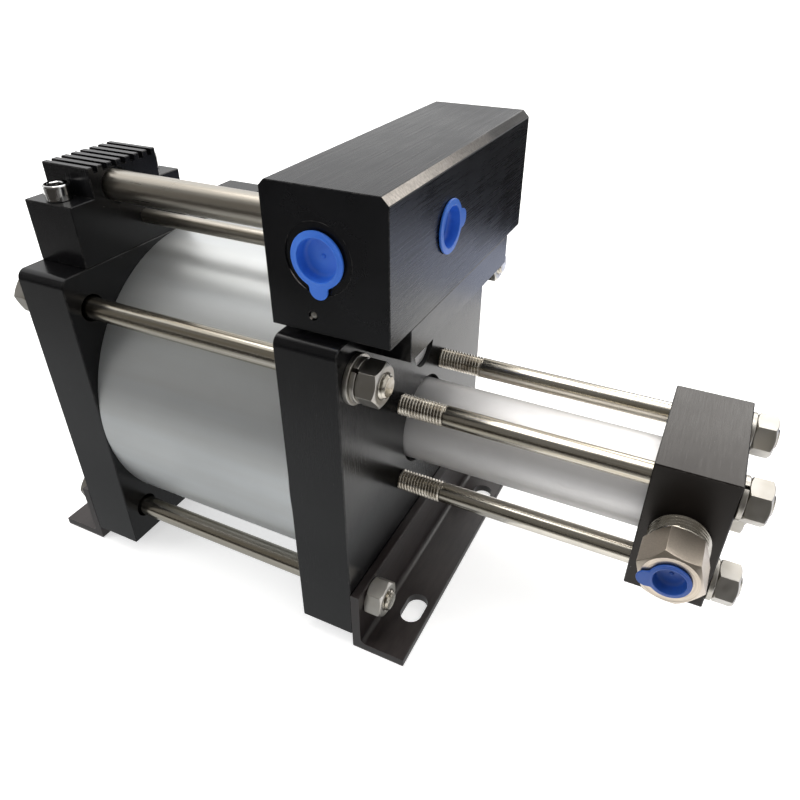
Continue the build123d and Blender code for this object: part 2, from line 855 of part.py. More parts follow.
def poppet(seat_y):
    """Valve poppet: a disc that closes the seat, with the stem that carries its spring."""
    with BuildPart() as made:
        face = (fitting_x, seat_y + rest_gap, axis_height)
        bar(face, to_far, poppet_thickness, poppet_radius)
        chamfer(circles(made).sort_by(Axis.Y)[0], poppet_cone)
        bar(face, to_far, poppet_thickness + poppet_stem_length, poppet_stem_radius)
    return made.part


inlet_seat_y = fitting_depth - half_width
outlet_seat_y = half_width - fitting_depth - valve_room
save(gas_fitting(-1), "inlet_fitting")
save(gas_fitting(1), "outlet_fitting")
gasket_pair = [fitting_gasket(-1), fitting_gasket(1)]
with BuildPart() as fitting_gaskets:
    add(gasket_pair)
save(fitting_gaskets.part, "fitting_gaskets")
save(poppet(inlet_seat_y), "inlet_poppet")
save(poppet(outlet_seat_y), "outlet_poppet")
poppet_spring_radius = poppet_stem_radius + poppet_spring_gap
for seat_y, spring_name in ((inlet_seat_y, "inlet_spring"), (outlet_seat_y, "outlet_spring")):
    spring_start = (fitting_x, seat_y + spring_seat, axis_height)
    spring_length = valve_room - spring_seat
    spring = coil_spring(spring_start, to_far, spring_length, poppet_spring_radius, poppet_spring_wire)
    save(spring, spring_name)

# Valve block on top of the front plate
near_mouth = (valve_x, near_face_y, valve_height)
far_mouth = (valve_x, far_face_y, valve_height)
exhaust_mouth = (block_front, exhaust_y, valve_height)
sleeve_floor = valve_height - sleeve_radius + channel_overlap
with BuildPart() as valve_block:
    block((block_back, block_front), (near_face_y, far_face_y), (block_bottom, block_top))
    long_edges = valve_block.edges().filter_by(Axis.Y)
    chamfer(long_edges.group_by(Axis.X)[-1].sort_by(Axis.Z)[-1], block_front_chamfer)
    long_edges = valve_block.edges().filter_by(Axis.Y)
    chamfer(long_edges.group_by(Axis.X)[0].sort_by(Axis.Z)[-1], block_back_chamfer)
    chamfer(valve_block.edges(), block_edge_break)
    hole(near_mouth, to_far, spotface_depth, spotface_radius)
    near_port = (valve_x, near_face_y + spotface_depth, valve_height)
    threaded_port(near_port, to_far, air_port_radius, air_port_length)
    hole(near_mouth, to_far, sleeve_near_margin, air_port_drill_radius)
    hole(far_mouth, to_near, far_face_y - sleeve_start, sleeve_radius + sleeve_fit)
    threaded_port(exhaust_mouth, back_x, air_port_radius, air_port_length)
    hole(exhaust_mouth, back_x, block_front - valve_x, air_port_drill_radius)
    tube_mouth = (block_back, air_tube_y, air_tube_height)
    hole(tube_mouth, along_x, tube_seat_depth, air_tube_radius + seat_clearance)
    hole(tube_mouth, along_x, valve_x - block_back, air_tube_radius - air_tube_wall)
    pilot_mouth = (block_back, pilot_tube_y, pilot_tube_height)
    hole(pilot_mouth, along_x, tube_seat_depth, pilot_tube_radius + seat_clearance)
    hole(pilot_mouth, along_x, valve_x - block_back, pilot_tube_radius - pilot_tube_wall)
    ball_mouth = (front_face - ball_channel_setback, near_face_y, block_bottom + ball_channel_above_block)
    hole(ball_mouth, to_far, 2 * ball_radius, ball_radius + seat_clearance)
    hole(ball_mouth, to_far, pilot_tube_y - near_face_y, pilot_channel_radius)
    drilling(
        (adapter_middle, front_channel_y, block_bottom),
        (valve_x, front_channel_y, sleeve_floor),
        channel_radius,
    )
    drilling(
        (adapter_middle, pilot_channel_y, block_bottom),
        (valve_x, pilot_port_y, sleeve_floor),
        pilot_channel_radius,
    )
    for side in (-1, 1):
        screw_mouth = (adapter_middle, side * block_screw_y, block_bottom)
        hole(screw_mouth, up, screw_grip + screw_end_gap, m8_screw[0] + thread_clearance)
    with Locations(Plane(origin=far_mouth, x_dir=back_x, z_dir=to_far)):
        with GridLocations(cap_screw_spacing, cap_screw_spacing, 2, 2) as cap_corners:
            cap_screw_places = [tuple(place.position) for place in cap_corners.locations]
    for place in cap_screw_places:
        hole(place, to_near, screw_grip + screw_end_gap, m5_screw[0] + thread_clearance)
save(valve_block.part, "valve_block")

with BuildPart() as ball_plug:
    with Locations((ball_mouth[0], near_face_y + ball_radius, ball_mouth[2])):
        Sphere(ball_radius)
save(ball_plug.part, "ball_plug")

# Adapter block that carries the valve block on the front plate's face
adapter_blank = eased_block(
    (front_face, block_front), (-half_adapter, half_adapter), (adapter_bottom, block_bottom), block_edge_break
)
with BuildPart() as adapter_block:
    add(adapter_blank)
    for y, radius in ((front_channel_y, channel_radius), (pilot_channel_y, pilot_channel_radius)):
        hole((adapter_middle, y, block_bottom), down, adapter_height / 2, radius)
        hole((front_face, y, adapter_channel_height), along_x, block_front_overhang / 2, radius)
    for side in (-1, 1):
        screw_mouth = (front_face, side * adapter_screw_y, adapter_screw_height)
        hole(screw_mouth, along_x, adapter_screw_grip + screw_end_gap, m6_screw[0] + thread_clearance)
        screw_seat = (adapter_middle, side * block_screw_y, adapter_bottom)
        screw_hole(screw_seat, up, adapter_height, m8_screw)
save(adapter_block.part, "adapter_block")

plate_screws = []
for side in (-1, 1):
    head_depth = m6_screw[2] + screw_clearance
    seat = (front_inner + head_depth, side * adapter_screw_y, adapter_screw_height)
    grip = plate_thickness - head_depth + adapter_screw_grip
    plate_screws.append(socket_screw(seat, along_x, grip, m6_screw))
with BuildPart() as adapter_screws:
    add(plate_screws)
save(adapter_screws.part, "adapter_screws")

block_screws = []
for side in (-1, 1):
    head_depth = m8_screw[2] + screw_clearance
    seat = (adapter_middle, side * block_screw_y, adapter_bottom + head_depth)
    block_screws.append(socket_screw(seat, up, adapter_height - head_depth + screw_grip, m8_screw))
with BuildPart() as valve_block_screws:
    add(block_screws)
save(valve_block_screws.part, "valve_block_screws")

# Spool valve: sleeve, its seals, spool and end cap
seal_ys = [y + sleeve_port_pitch / 2 for y in sleeve_port_ys]
seal_groove = 2 * o_ring_radius + 2 * ring_side_clearance
with BuildPart() as spool_sleeve:
    sleeve_back = (valve_x, sleeve_start, valve_height)
    bar(sleeve_back, to_far, sleeve_length, sleeve_radius)
    hole(sleeve_back, to_far, sleeve_length, spool_radius + running_clearance)
    for y in sleeve_port_ys + [pilot_port_y]:
        groove_start = (valve_x, y - port_groove_width / 2, valve_height)
        groove(groove_start, to_far, port_groove_width, sleeve_radius, sleeve_radius - port_groove_depth)
        for direction in (along_x, back_x, up, down):
            hole((valve_x, y, valve_height), direction, sleeve_radius, port_hole_radius)
    for y in seal_ys:
        groove_start = (valve_x, y - seal_groove / 2, valve_height)
        groove(groove_start, to_far, seal_groove, sleeve_radius, sleeve_radius - seal_groove)
save(spool_sleeve.part, "spool_sleeve")

with BuildPart() as sleeve_o_rings:
    for y in seal_ys:
        o_ring((valve_x, y, valve_height), to_far, sleeve_radius - o_ring_radius, o_ring_radius)
save(sleeve_o_rings.part, "sleeve_o_rings")

land_width = sleeve_port_pitch * spool_land_share
land_starts = [spool_start] + [y - land_width / 2 for y in seal_ys[1:]]
land_starts.append(spool_start + spool_length - land_width)
with BuildPart() as spool:
    bar((valve_x, spool_start, valve_height), to_far, spool_length, spool_waist_radius)
    for y in land_starts:
        bar((valve_x, y, valve_height), to_far, land_width, spool_radius)
save(spool.part, "spool")

with BuildPart() as spool_end_cap:
    with BuildSketch(Plane(origin=far_mouth, x_dir=back_x, z_dir=to_far)):
        RectangleRounded(cap_flange, cap_flange, cap_corner_radius)
    extrude(amount=cap_flange_thickness)
    chamfer(spool_end_cap.faces().sort_by(Axis.Y)[-1].edges(), cap_edge_break)
    bar(far_mouth, to_near, sleeve_far_margin, sleeve_radius)
    for place in cap_screw_places:
        hole(place, to_far, cap_flange_thickness, m5_screw[0] + screw_clearance)
save(spool_end_cap.part, "spool_end_cap")

cap_screws = [
    socket_screw((x, y + cap_flange_thickness, z), to_near, cap_flange_thickness + screw_grip, m5_screw)
    for x, y, z in cap_screw_places
]
with BuildPart() as end_cap_screws:
    add(cap_screws)
save(end_cap_screws.part, "end_cap_screws")

# Rear block with cooling fins, its screws and the two tubes to the valve block
rear_span = (rear_face, rear_inner)
tower_span = (tower_near_y, tower_near_y + tower_width)
base_span = (rear_block_near_y, rear_block_far_y)
fin_pitch = 2 * tower_width / (2 * fin_count - 1)
base_height_span = (plate_top, plate_top + rear_block_height)
rear_base = eased_block(rear_span, base_span, base_height_span, rear_block_edge_break)
tower = eased_block(rear_span, tower_span, (plate_top, tower_top), rear_block_edge_break)
with BuildPart() as rear_block:
    add([rear_base, tower])
    for count in range(fin_count - 1):
        groove_y = tower_near_y + fin_pitch * (count + 1 / 2)
        groove_span = (groove_y, groove_y + fin_pitch / 2)
        block(rear_span, groove_span, (tower_top - fin_depth, tower_top), Mode.SUBTRACT)
    for y, height, radius, wall, drop_radius in (
        (air_tube_y, air_tube_height, air_tube_radius, air_tube_wall, channel_radius),
        (pilot_tube_y, pilot_tube_height, pilot_tube_radius, pilot_tube_wall, pilot_channel_radius),
    ):
        mouth = (rear_inner, y, height)
        hole(mouth, back_x, tube_seat_depth, radius + seat_clearance)
        hole(mouth, back_x, plate_thickness / 2 + radius - wall, radius - wall)
        hole((rear_block_middle, y, height), down, height - plate_top, drop_radius)
    hole((rear_inner, air_tube_y, air_tube_height), back_x, air_tube_ring_depth, air_tube_ring_radius)
    for y in rear_screw_ys:
        hole((rear_block_middle, y, plate_top), up, rear_block_height, m8_screw[0] + screw_clearance)
save(rear_block.part, "rear_block")

base_screws = [
    socket_screw(
        (rear_block_middle, y, plate_top + rear_block_height), down, rear_block_height + screw_grip, m8_screw
    )
    for y in rear_screw_ys
]
with BuildPart() as rear_block_screws:
    add(base_screws)
save(rear_block_screws.part, "rear_block_screws")


def tube(y, height, radius, wall):
    """Straight air tube between the rear block and the valve block."""
    start = rear_inner - tube_seat_depth + rest_gap
    end = block_back + tube_seat_depth - rest_gap
    with BuildPart() as made:
        ring((start, y, height), along_x, end - start, radius, radius - wall)
    return made.part


save(tube(air_tube_y, air_tube_height, air_tube_radius, air_tube_wall), "air_tube")
save(tube(pilot_tube_y, pilot_tube_height, pilot_tube_radius, pilot_tube_wall), "pilot_tube")


def pilot_valve(face_x, inward, seat_x, name):
    """Spring-loaded pin that the air piston pushes at the end of its stroke, with its cap."""
    toward = inward[0]
    outward = (-toward, 0, 0)
    cap_outer = (face_x + toward * pilot_cap_recess, 0, pilot_height)
    cap_inner_x = cap_outer[0] + toward * pilot_cap_thickness
    shoulder_x = seat_x - toward * pilot_chamber_floor
    with BuildPart() as cap:
        bar(cap_outer, inward, pilot_cap_thickness, pilot_cap_radius)
        chamfer(circles(cap), pilot_cap_edge_break)
        with BuildSketch(Plane(origin=cap_outer, z_dir=inward)):
            RegularPolygon(pilot_cap_key_radius, 6)
        extrude(amount=pilot_cap_thickness / 2, mode=Mode.SUBTRACT)
    save(cap.part, name + "_pilot_cap")
    with BuildPart() as pin:
        tip = (seat_x + toward * pilot_pin_reach, 0, pilot_height)
        stem_length = pilot_chamber_floor + pilot_pin_reach + pilot_collar_thickness + pilot_guide_length
        bar(tip, outward, stem_length, pilot_pin_radius)
        collar_start = (shoulder_x, 0, pilot_height)
        bar(collar_start, outward, pilot_collar_thickness, pilot_chamber_radius - rest_gap)
    save(pin.part, name + "_pilot_pin")
    spring_start = (shoulder_x - toward * pilot_collar_thickness, 0, pilot_height)
    length = abs(cap_inner_x - spring_start[0])
    spring_radius = pilot_pin_radius + pilot_spring_gap
    spring = coil_spring(spring_start, outward, length, spring_radius, pilot_spring_wire)
    save(spring, name + "_pilot_spring")


pilot_valve(front_face, back_x, chamber_front, "front")
pilot_valve(rear_face, along_x, chamber_rear, "rear")


def transport_plug(mouth, inward, port_radius, overhang, tab_direction):
    """Moulded cup that closes a port, with a flange and a tab to pull it out by."""
    outward = tuple(-value for value in inward)
    shank_radius = port_radius + mouth_clearance - plug_clearance
    flange_radius = port_radius + overhang
    seat = Plane(origin=mouth, x_dir=tab_direction, z_dir=outward).offset(rest_gap)
    with BuildPart() as plug:
        bar(seat.origin, outward, plug_flange_thickness, flange_radius)
        bar(seat.origin, inward, plug_shank_length, shank_radius)
        with BuildSketch(seat) as tab:
            with Locations(((flange_radius + plug_tab_length) / 2, 0)):
                Rectangle(flange_radius + plug_tab_length, plug_tab_width)
            fillet(tab.vertices().group_by(Axis.X)[-1], plug_tab_width * plug_tab_round_share)
        extrude(amount=plug_flange_thickness)
        cup_depth = plug_flange_thickness + plug_shank_length - plug_wall
        hole(seat.offset(plug_flange_thickness).origin, inward, cup_depth, shank_radius - plug_wall)
    return plug.part


gas_mouth_y = half_width + fitting_collar + fitting_hex_length
save(transport_plug(near_mouth, to_far, air_port_radius, plug_flange_overhang, down), "air_inlet_plug")
save(transport_plug(exhaust_mouth, back_x, air_port_radius, plug_flange_overhang, to_far), "exhaust_plug")
for side, plug_name in ((-1, "gas_inlet_plug"), (1, "gas_outlet_plug")):
    plug_mouth = (fitting_x, side * gas_mouth_y, axis_height)
    inward = (0, -side, 0)
    plug = transport_plug(plug_mouth, inward, gas_port_radius, small_plug_flange_overhang, back_x)
    save(plug, plug_name)
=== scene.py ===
from itertools import product
from math import cos, pi, radians, sqrt, tan, tau

import bmesh
import bpy
import numpy as np
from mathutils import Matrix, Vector


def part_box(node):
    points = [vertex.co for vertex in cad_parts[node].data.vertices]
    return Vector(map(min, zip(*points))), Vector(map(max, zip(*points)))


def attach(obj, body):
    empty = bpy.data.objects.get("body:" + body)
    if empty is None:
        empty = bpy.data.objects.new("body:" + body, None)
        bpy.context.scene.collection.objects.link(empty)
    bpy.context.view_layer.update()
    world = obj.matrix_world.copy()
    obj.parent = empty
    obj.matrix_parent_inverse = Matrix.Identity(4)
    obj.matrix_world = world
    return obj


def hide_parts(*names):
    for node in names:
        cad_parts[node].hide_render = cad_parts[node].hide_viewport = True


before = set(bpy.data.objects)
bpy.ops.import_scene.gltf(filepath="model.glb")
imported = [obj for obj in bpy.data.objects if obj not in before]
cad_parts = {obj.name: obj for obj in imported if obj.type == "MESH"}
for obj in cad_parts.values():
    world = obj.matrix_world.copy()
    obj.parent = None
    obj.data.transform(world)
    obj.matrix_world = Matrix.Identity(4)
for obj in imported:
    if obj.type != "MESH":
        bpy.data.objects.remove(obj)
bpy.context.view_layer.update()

# Air pressure booster: turned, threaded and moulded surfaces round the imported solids, the
# finishes, and a studio with the photo's camera. Sizes of the part are in millimetres and become
# metres when a mesh is made. The studio is in metres.

MM = 0.001
CONE = tan(radians(30))
M12_PITCH = 1.75
M12_CREST = 6.0
M12_ROOT = 5.0
# Rows of points for one turn of a thread
THREAD_STEPS = 8
FINE_STEPS = 6

along_x = np.array([1.0, 0.0, 0.0])
back_x = -along_x
to_far = np.array([0.0, 1.0, 0.0])
to_near = -to_far
up = np.array([0.0, 0.0, 1.0])
down = -up


def span(node):
    """Lowest and highest corner of a solid, in millimetres."""
    low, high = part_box(node)
    return np.array(low) / MM, np.array(high) / MM


# Shapes


def placed(points, start, direction, spin=0.0):
    """Carries local points to their place: x and y go along two axes square to the direction,
    turned about it by the spin angle, and z goes along the direction from the start."""
    direction = np.array(direction, float)
    guide = up if abs(direction[2]) < 0.9 else along_x
    across = np.cross(guide, direction)
    across /= np.linalg.norm(across)
    other = np.cross(direction, across)
    turned_across = across * cos(spin) + other * np.sin(spin)
    turned_other = other * cos(spin) - across * np.sin(spin)
    return np.array(start) + points @ np.stack([turned_across, turned_other, direction])


def eased(corners, ease, closed=False, steps=4):
    """Profile with softened corners: each corner becomes a short parabola, the quadratic curve
    that leaves one side and joins the next at the ease distance from the corner."""
    corners = np.array(corners, float)
    before, after = np.roll(corners, 1, axis=0) - corners, np.roll(corners, -1, axis=0) - corners
    reach_before = np.linalg.norm(before, axis=1, keepdims=True)
    reach_after = np.linalg.norm(after, axis=1, keepdims=True)
    cut = np.broadcast_to(np.array(ease, float).reshape(-1, 1), (len(corners), 1))
    cut = np.minimum(cut, 0.45 * np.minimum(reach_before, reach_after))
    first, last = corners + before / reach_before * cut, corners + after / reach_after * cut
    t = np.linspace(0, 1, steps)[None, :, None]
    curve = (1 - t) ** 2 * first[:, None] + 2 * t * (1 - t) * corners[:, None] + t**2 * last[:, None]
    if closed:
        return np.concatenate([curve.reshape(-1, 2), curve[0, :1]])
    curve[0], curve[-1] = corners[0], corners[-1]
    return curve.reshape(-1, 2)


def turned(profile, columns=96):
    """Surface of revolution: a point of the profile, distance s along the axis and radius r,
    goes round the circle (r cos a, r sin a, s)."""
    s, r = np.array(profile, float).T
    a = np.linspace(0, tau, columns, endpoint=False)
    return np.stack([np.outer(r, np.cos(a)), np.outer(r, np.sin(a)), np.outer(s, np.ones(columns))], -1)


def thread(length, pitch, crest, root, face, shank, run_out, columns, steps):
    """Screw thread: s = u + pitch a / 2 pi, held between the ends, so each row climbs one pitch a
    turn. The radius is root plus a triangle wave of u, cut flat at the crest and the root, times
    the depth. A 45 degree cone from the face cuts its free end and it dies out into the shank over
    the run-out."""
    steepness, root_flat = 1.35, 0.18
    rows = np.arange(-steps, int(np.ceil(length / pitch * steps)) + 1)
    u = rows[:, None] / steps * pitch
    a = np.linspace(0, tau, columns, endpoint=False)[None, :]
    s = np.clip(u + pitch * a / tau, 0, length)
    triangle = 1 - np.abs(2 * np.mod(u / pitch, 1) - 1)
    wave = np.clip(steepness * triangle - root_flat, 0, 1)
    r = np.minimum(root + (crest - root) * wave, face + s)
    fade = np.clip((length - s) / run_out, 0, 1)
    r = shank + (r - shank) * fade
    return np.stack([r * np.cos(a), r * np.sin(a), s], -1)


def hexagon(across_flats, corner=0.35, arc_steps=3, flat_steps=7):
    """Rounded hexagon as points in a plane: round each corner an arc of the small radius, and
    between two arcs points spaced evenly along the flat. One sixth is made and turned six times."""
    middle = (across_flats / 2 - corner) / cos(pi / 6)
    t = np.linspace(-pi / 6, pi / 6, arc_steps + 1)
    arc = np.stack([middle + corner * np.cos(t), corner * np.sin(t)], -1)
    sixth = np.array([[0.5, -sqrt(0.75)], [sqrt(0.75), 0.5]])
    target = arc[0] @ sixth.T
    along = (np.arange(1, flat_steps) / flat_steps)[:, None]
    one = np.concatenate([arc, arc[-1] * (1 - along) + target * along])
    turns = np.arange(6) * pi / 3
    c, s = np.cos(turns), np.sin(turns)
    turn = np.stack([np.stack([c, s], -1), np.stack([-s, c], -1)], 1)
    return np.einsum("kc,tcd->tkd", one, turn).reshape(-1, 2)


def hexagon_rows(outline, levels):
    """Rows of a turned hexagon: each level is (distance, radius) for a round row, or (distance,
    None, face radius, side, inset, shift) for a row on the flats, drawn in by the inset. A 30
    degree cone from the face radius meets them at distance + side ((R - face) tan 30 + shift), R
    being the point's own radius."""
    reach = np.hypot(*outline.T)
    unit = outline / reach[:, None]
    rows = []
    for level in levels:
        if level[1] is None:
            s, _, face, side, inset, shift = level
            r = reach - inset
            s = s + side * (np.maximum(reach - face, 0) * CONE + shift)
        else:
            s, r = level
            r, s = r + 0 * reach, s + 0 * reach
        rows.append(np.concatenate([unit * r[:, None], np.array(s)[:, None]], 1))
    return np.stack(rows)


def hex_nut(height, across_flats, bore):
    """Nut: its bore, countersinks, turned faces, 30 degree cones and rounded hexagon, as rows
    that run from the bore round the outside and back to the bore."""
    face = across_flats * 0.475
    rim = face - 0.25
    sink = 0.6
    cone_end, flat_start = (0.14, -0.08), (0.0, 0.12)
    levels = [
        (sink, bore),
        (0.0, bore + sink),
        (0.0, rim),
        (0.0, face),
        (0.0, None, face, 1, *cone_end),
        (0.0, None, face, 1, *flat_start),
        (height, None, face, -1, *flat_start),
        (height, None, face, -1, *cone_end),
        (height, face),
        (height, rim),
        (height, bore + sink),
        (height - sink, bore),
        (sink, bore),
    ]
    return hexagon_rows(hexagon(across_flats), levels)


def flat_ring(thickness, outer, inner, ease=0.35):
    """Washer: a rectangle with eased corners turned round the axis."""
    corners = [(0, inner), (0, outer), (thickness, outer), (thickness, inner)]
    return turned(eased(corners, ease, closed=True), 72)


def split_ring(thickness, outer, inner, gap, at):
    """Spring washer: the eased rectangle carried round from one side of the gap to the other,
    both ends closed by rows that shrink to the section's middle."""
    corners = [(0, inner), (0, outer), (thickness, outer), (thickness, inner)]
    section = eased(corners, 0.4, closed=True)[:-1]
    half = gap / outer / 2
    last = tau - half
    a = at + np.concatenate([[half, half], np.linspace(half, last, 60), [last, last]])
    scale = np.ones(len(a))
    scale[[0, -1]] = 0
    middle = section.mean(0)
    spots = middle + (section - middle)[None] * scale[:, None, None]
    r, s = spots[..., 1], spots[..., 0]
    return np.stack([r * np.cos(a)[:, None], r * np.sin(a)[:, None], s], -1)


def socket_head(head_radius, head_height, key, shank_radius, length, pitch):
    """Socket screw as rows of (distance, radius): the key's floor and hexagonal walls, the dished
    mouth, the head's rounded rim, its side and the shank. Returns the grids of the head, of the
    threaded shank and of its flat end."""
    outline = hexagon(key, 0.15)
    reach = np.hypot(*outline.T)
    unit = outline / reach[:, None]
    mouth = reach.max()
    floor = head_height * 0.45
    top = head_height
    wide = head_radius
    threaded = length * 0.75
    rows = [
        (floor - 0.5, 0.0),
        (floor, reach),
        (top - 0.35, reach),
        (top - 0.05, mouth + 0.25),
        (top, mouth + 0.45),
        (top, wide - 0.9),
        (top - 0.12, wide - 0.5),
        (top - 0.5, wide - 0.12),
        (top - 0.95, wide),
        (0.35, wide),
        (0.0, wide - 0.3),
        (0.0, shank_radius),
        (threaded - length, shank_radius),
    ]
    level = np.ones((len(reach), 1))
    head = np.stack([np.hstack([unit * (r * level[:, 0])[:, None], s * level]) for s, r in rows])
    root = shank_radius - 0.6 * pitch
    face = root - 0.3
    columns = 36
    radii = (shank_radius, root, face, shank_radius)
    screw = thread(threaded, pitch, *radii, 0.5 * pitch, columns, FINE_STEPS)
    screw[..., 2] -= length
    tip = turned([(-length, 0), (-length, face)], columns)
    return head, screw, tip


def plug_cup(port_radius, overhang, tab_width, tab_length):
    """Moulded plug: rows of (distance, radius) from the cup's middle out over the lip and flange
    and down the shank. The flange's edge is the larger of a circle and a round-ended tab, in polar
    form: inside the tab's end the distance is c cos a + sqrt(w w - c c sin a sin a). Both are
    joined softly as the 14th root of the sum of their 14th powers."""
    shank = port_radius + 0.05
    cup = shank - 1.3
    flange = port_radius + overhang
    half = tab_width / 2
    centre = flange + tab_length - half
    t = np.linspace(-1, 1, 121)[:-1]
    crowding = 0.65
    a = pi * ((1 - crowding) * t + crowding * t**3)
    inside = half**2 - (centre * np.sin(a)) ** 2
    end = centre * np.cos(a) + np.sqrt(np.maximum(inside, 0))
    side = half / np.maximum(np.abs(np.sin(a)), 1e-6)
    ahead = np.cos(a) > 0
    tab = np.where(inside > 0, end, side) * ahead
    power = 14.0
    edge = (flange**power + np.maximum(tab, 0.1) ** power) ** (1 / power)
    edge = np.minimum(edge, flange + tab_length)
    edge -= edge.min() - flange
    edge = np.minimum(edge, flange + tab_length)
    rows = [
        (-3.7, 0.0),
        (-3.75, 0.5),
        (-4.0, 0.85),
        (-4.35, 1.1),
        (-4.4, cup - 2.2),
        (-4.3, cup - 1.4),
        (-3.9, cup - 0.7),
        (-3.1, cup - 0.25),
        (-2.0, cup - 0.1),
        (1.1, cup),
        (1.42, cup + 0.1),
        (1.5, cup + 0.3),
        (1.5, cup + 0.75),
        (1.38, cup + 0.95),
        (1.34, cup + 1.2),
        (1.34, edge - 0.3),
        (1.24, edge - 0.1),
        (1.0, edge),
        (0.6, edge),
        (0.38, edge - 0.08),
        (0.3, edge - 0.3),
        (0.3, shank),
        (-4.9, shank - 0.02),
        (-5.5, shank - 0.2),
        (-5.7, shank - 0.5),
        (-5.7, 0.0),
    ]
    level = np.ones_like(a)
    r = np.stack([radius * level for _, radius in rows])
    s = np.stack([distance * level for distance, _ in rows])
    return np.stack([r * np.cos(a), r * np.sin(a), s], -1)


def skin(name, patches, finishes, body, nodes, sharp=36):
    """One mesh from grids of points in millimetres: neighbours on a grid make quads, the columns
    close on themselves, for a helix a given number of rows further on, coinciding points are
    merged and all faces turned outwards. A patch may say which of the finishes it takes. Edges
    sharper than the angle, in degrees, stay crisp."""
    points, faces, kinds, base = [], [], [], 0
    for grid, shift, *kind in patches:
        rows, columns = grid.shape[:2]
        index = base + np.arange(rows * columns).reshape(rows, columns)
        beside = np.roll(index, -1, axis=1)
        beside[:, -1] = index[np.minimum(np.arange(rows) + shift, rows - 1), 0]
        faces.append(np.stack([index[:-1], beside[:-1], beside[1:], index[1:]], -1).reshape(-1, 4))
        points.append(grid.reshape(-1, 3) * MM)
        kinds.append(np.full((rows - 1) * columns, kind[0] if kind else 0))
        base += rows * columns
    mesh = bpy.data.meshes.new(name)
    mesh.from_pydata(np.concatenate(points).tolist(), [], np.concatenate(faces).tolist())
    for finish in finishes:
        mesh.materials.append(finish)
    mesh.polygons.foreach_set("material_index", np.concatenate(kinds))
    work = bmesh.new()
    work.from_mesh(mesh)
    bmesh.ops.remove_doubles(work, verts=work.verts, dist=2e-6)
    bmesh.ops.recalc_face_normals(work, faces=work.faces)
    work.to_mesh(mesh)
    work.free()
    mesh.polygons.foreach_set("use_smooth", np.ones(len(mesh.polygons), bool))
    mesh.set_sharp_from_angle(angle=radians(sharp))
    mesh.update()
    piece = bpy.data.objects.new(name, mesh)
    bpy.context.scene.collection.objects.link(piece)
    weighted = piece.modifiers.new("even shading", "WEIGHTED_NORMAL")
    weighted.keep_sharp = True
    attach(piece, body)
    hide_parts(*nodes)
    return piece


# Finishes


def mixer(tree):
    """Colour mix node: the sockets of its share, its first and second colour and its result."""
    made = tree.nodes.new("ShaderNodeMix")
    made.data_type = "RGBA"
    first, second = [socket for socket in made.inputs if socket.type == "RGBA"]
    result = next(socket for socket in made.outputs if socket.type == "RGBA")
    return made.inputs["Factor"], first, second, result


def seen_rays(tree):
    """One for a ray that shows the room: from the camera, off a gloss or through glass."""
    rays = tree.nodes.new("ShaderNodeLightPath")
    seen = rays.outputs["Is Camera Ray"]
    for kind in ("Is Glossy Ray", "Is Transmission Ray"):
        either = tree.nodes.new("ShaderNodeMath")
        either.operation = "MAXIMUM"
        tree.links.new(seen, either.inputs[0])
        tree.links.new(rays.outputs[kind], either.inputs[1])
        seen = either.outputs["Value"]
    return seen


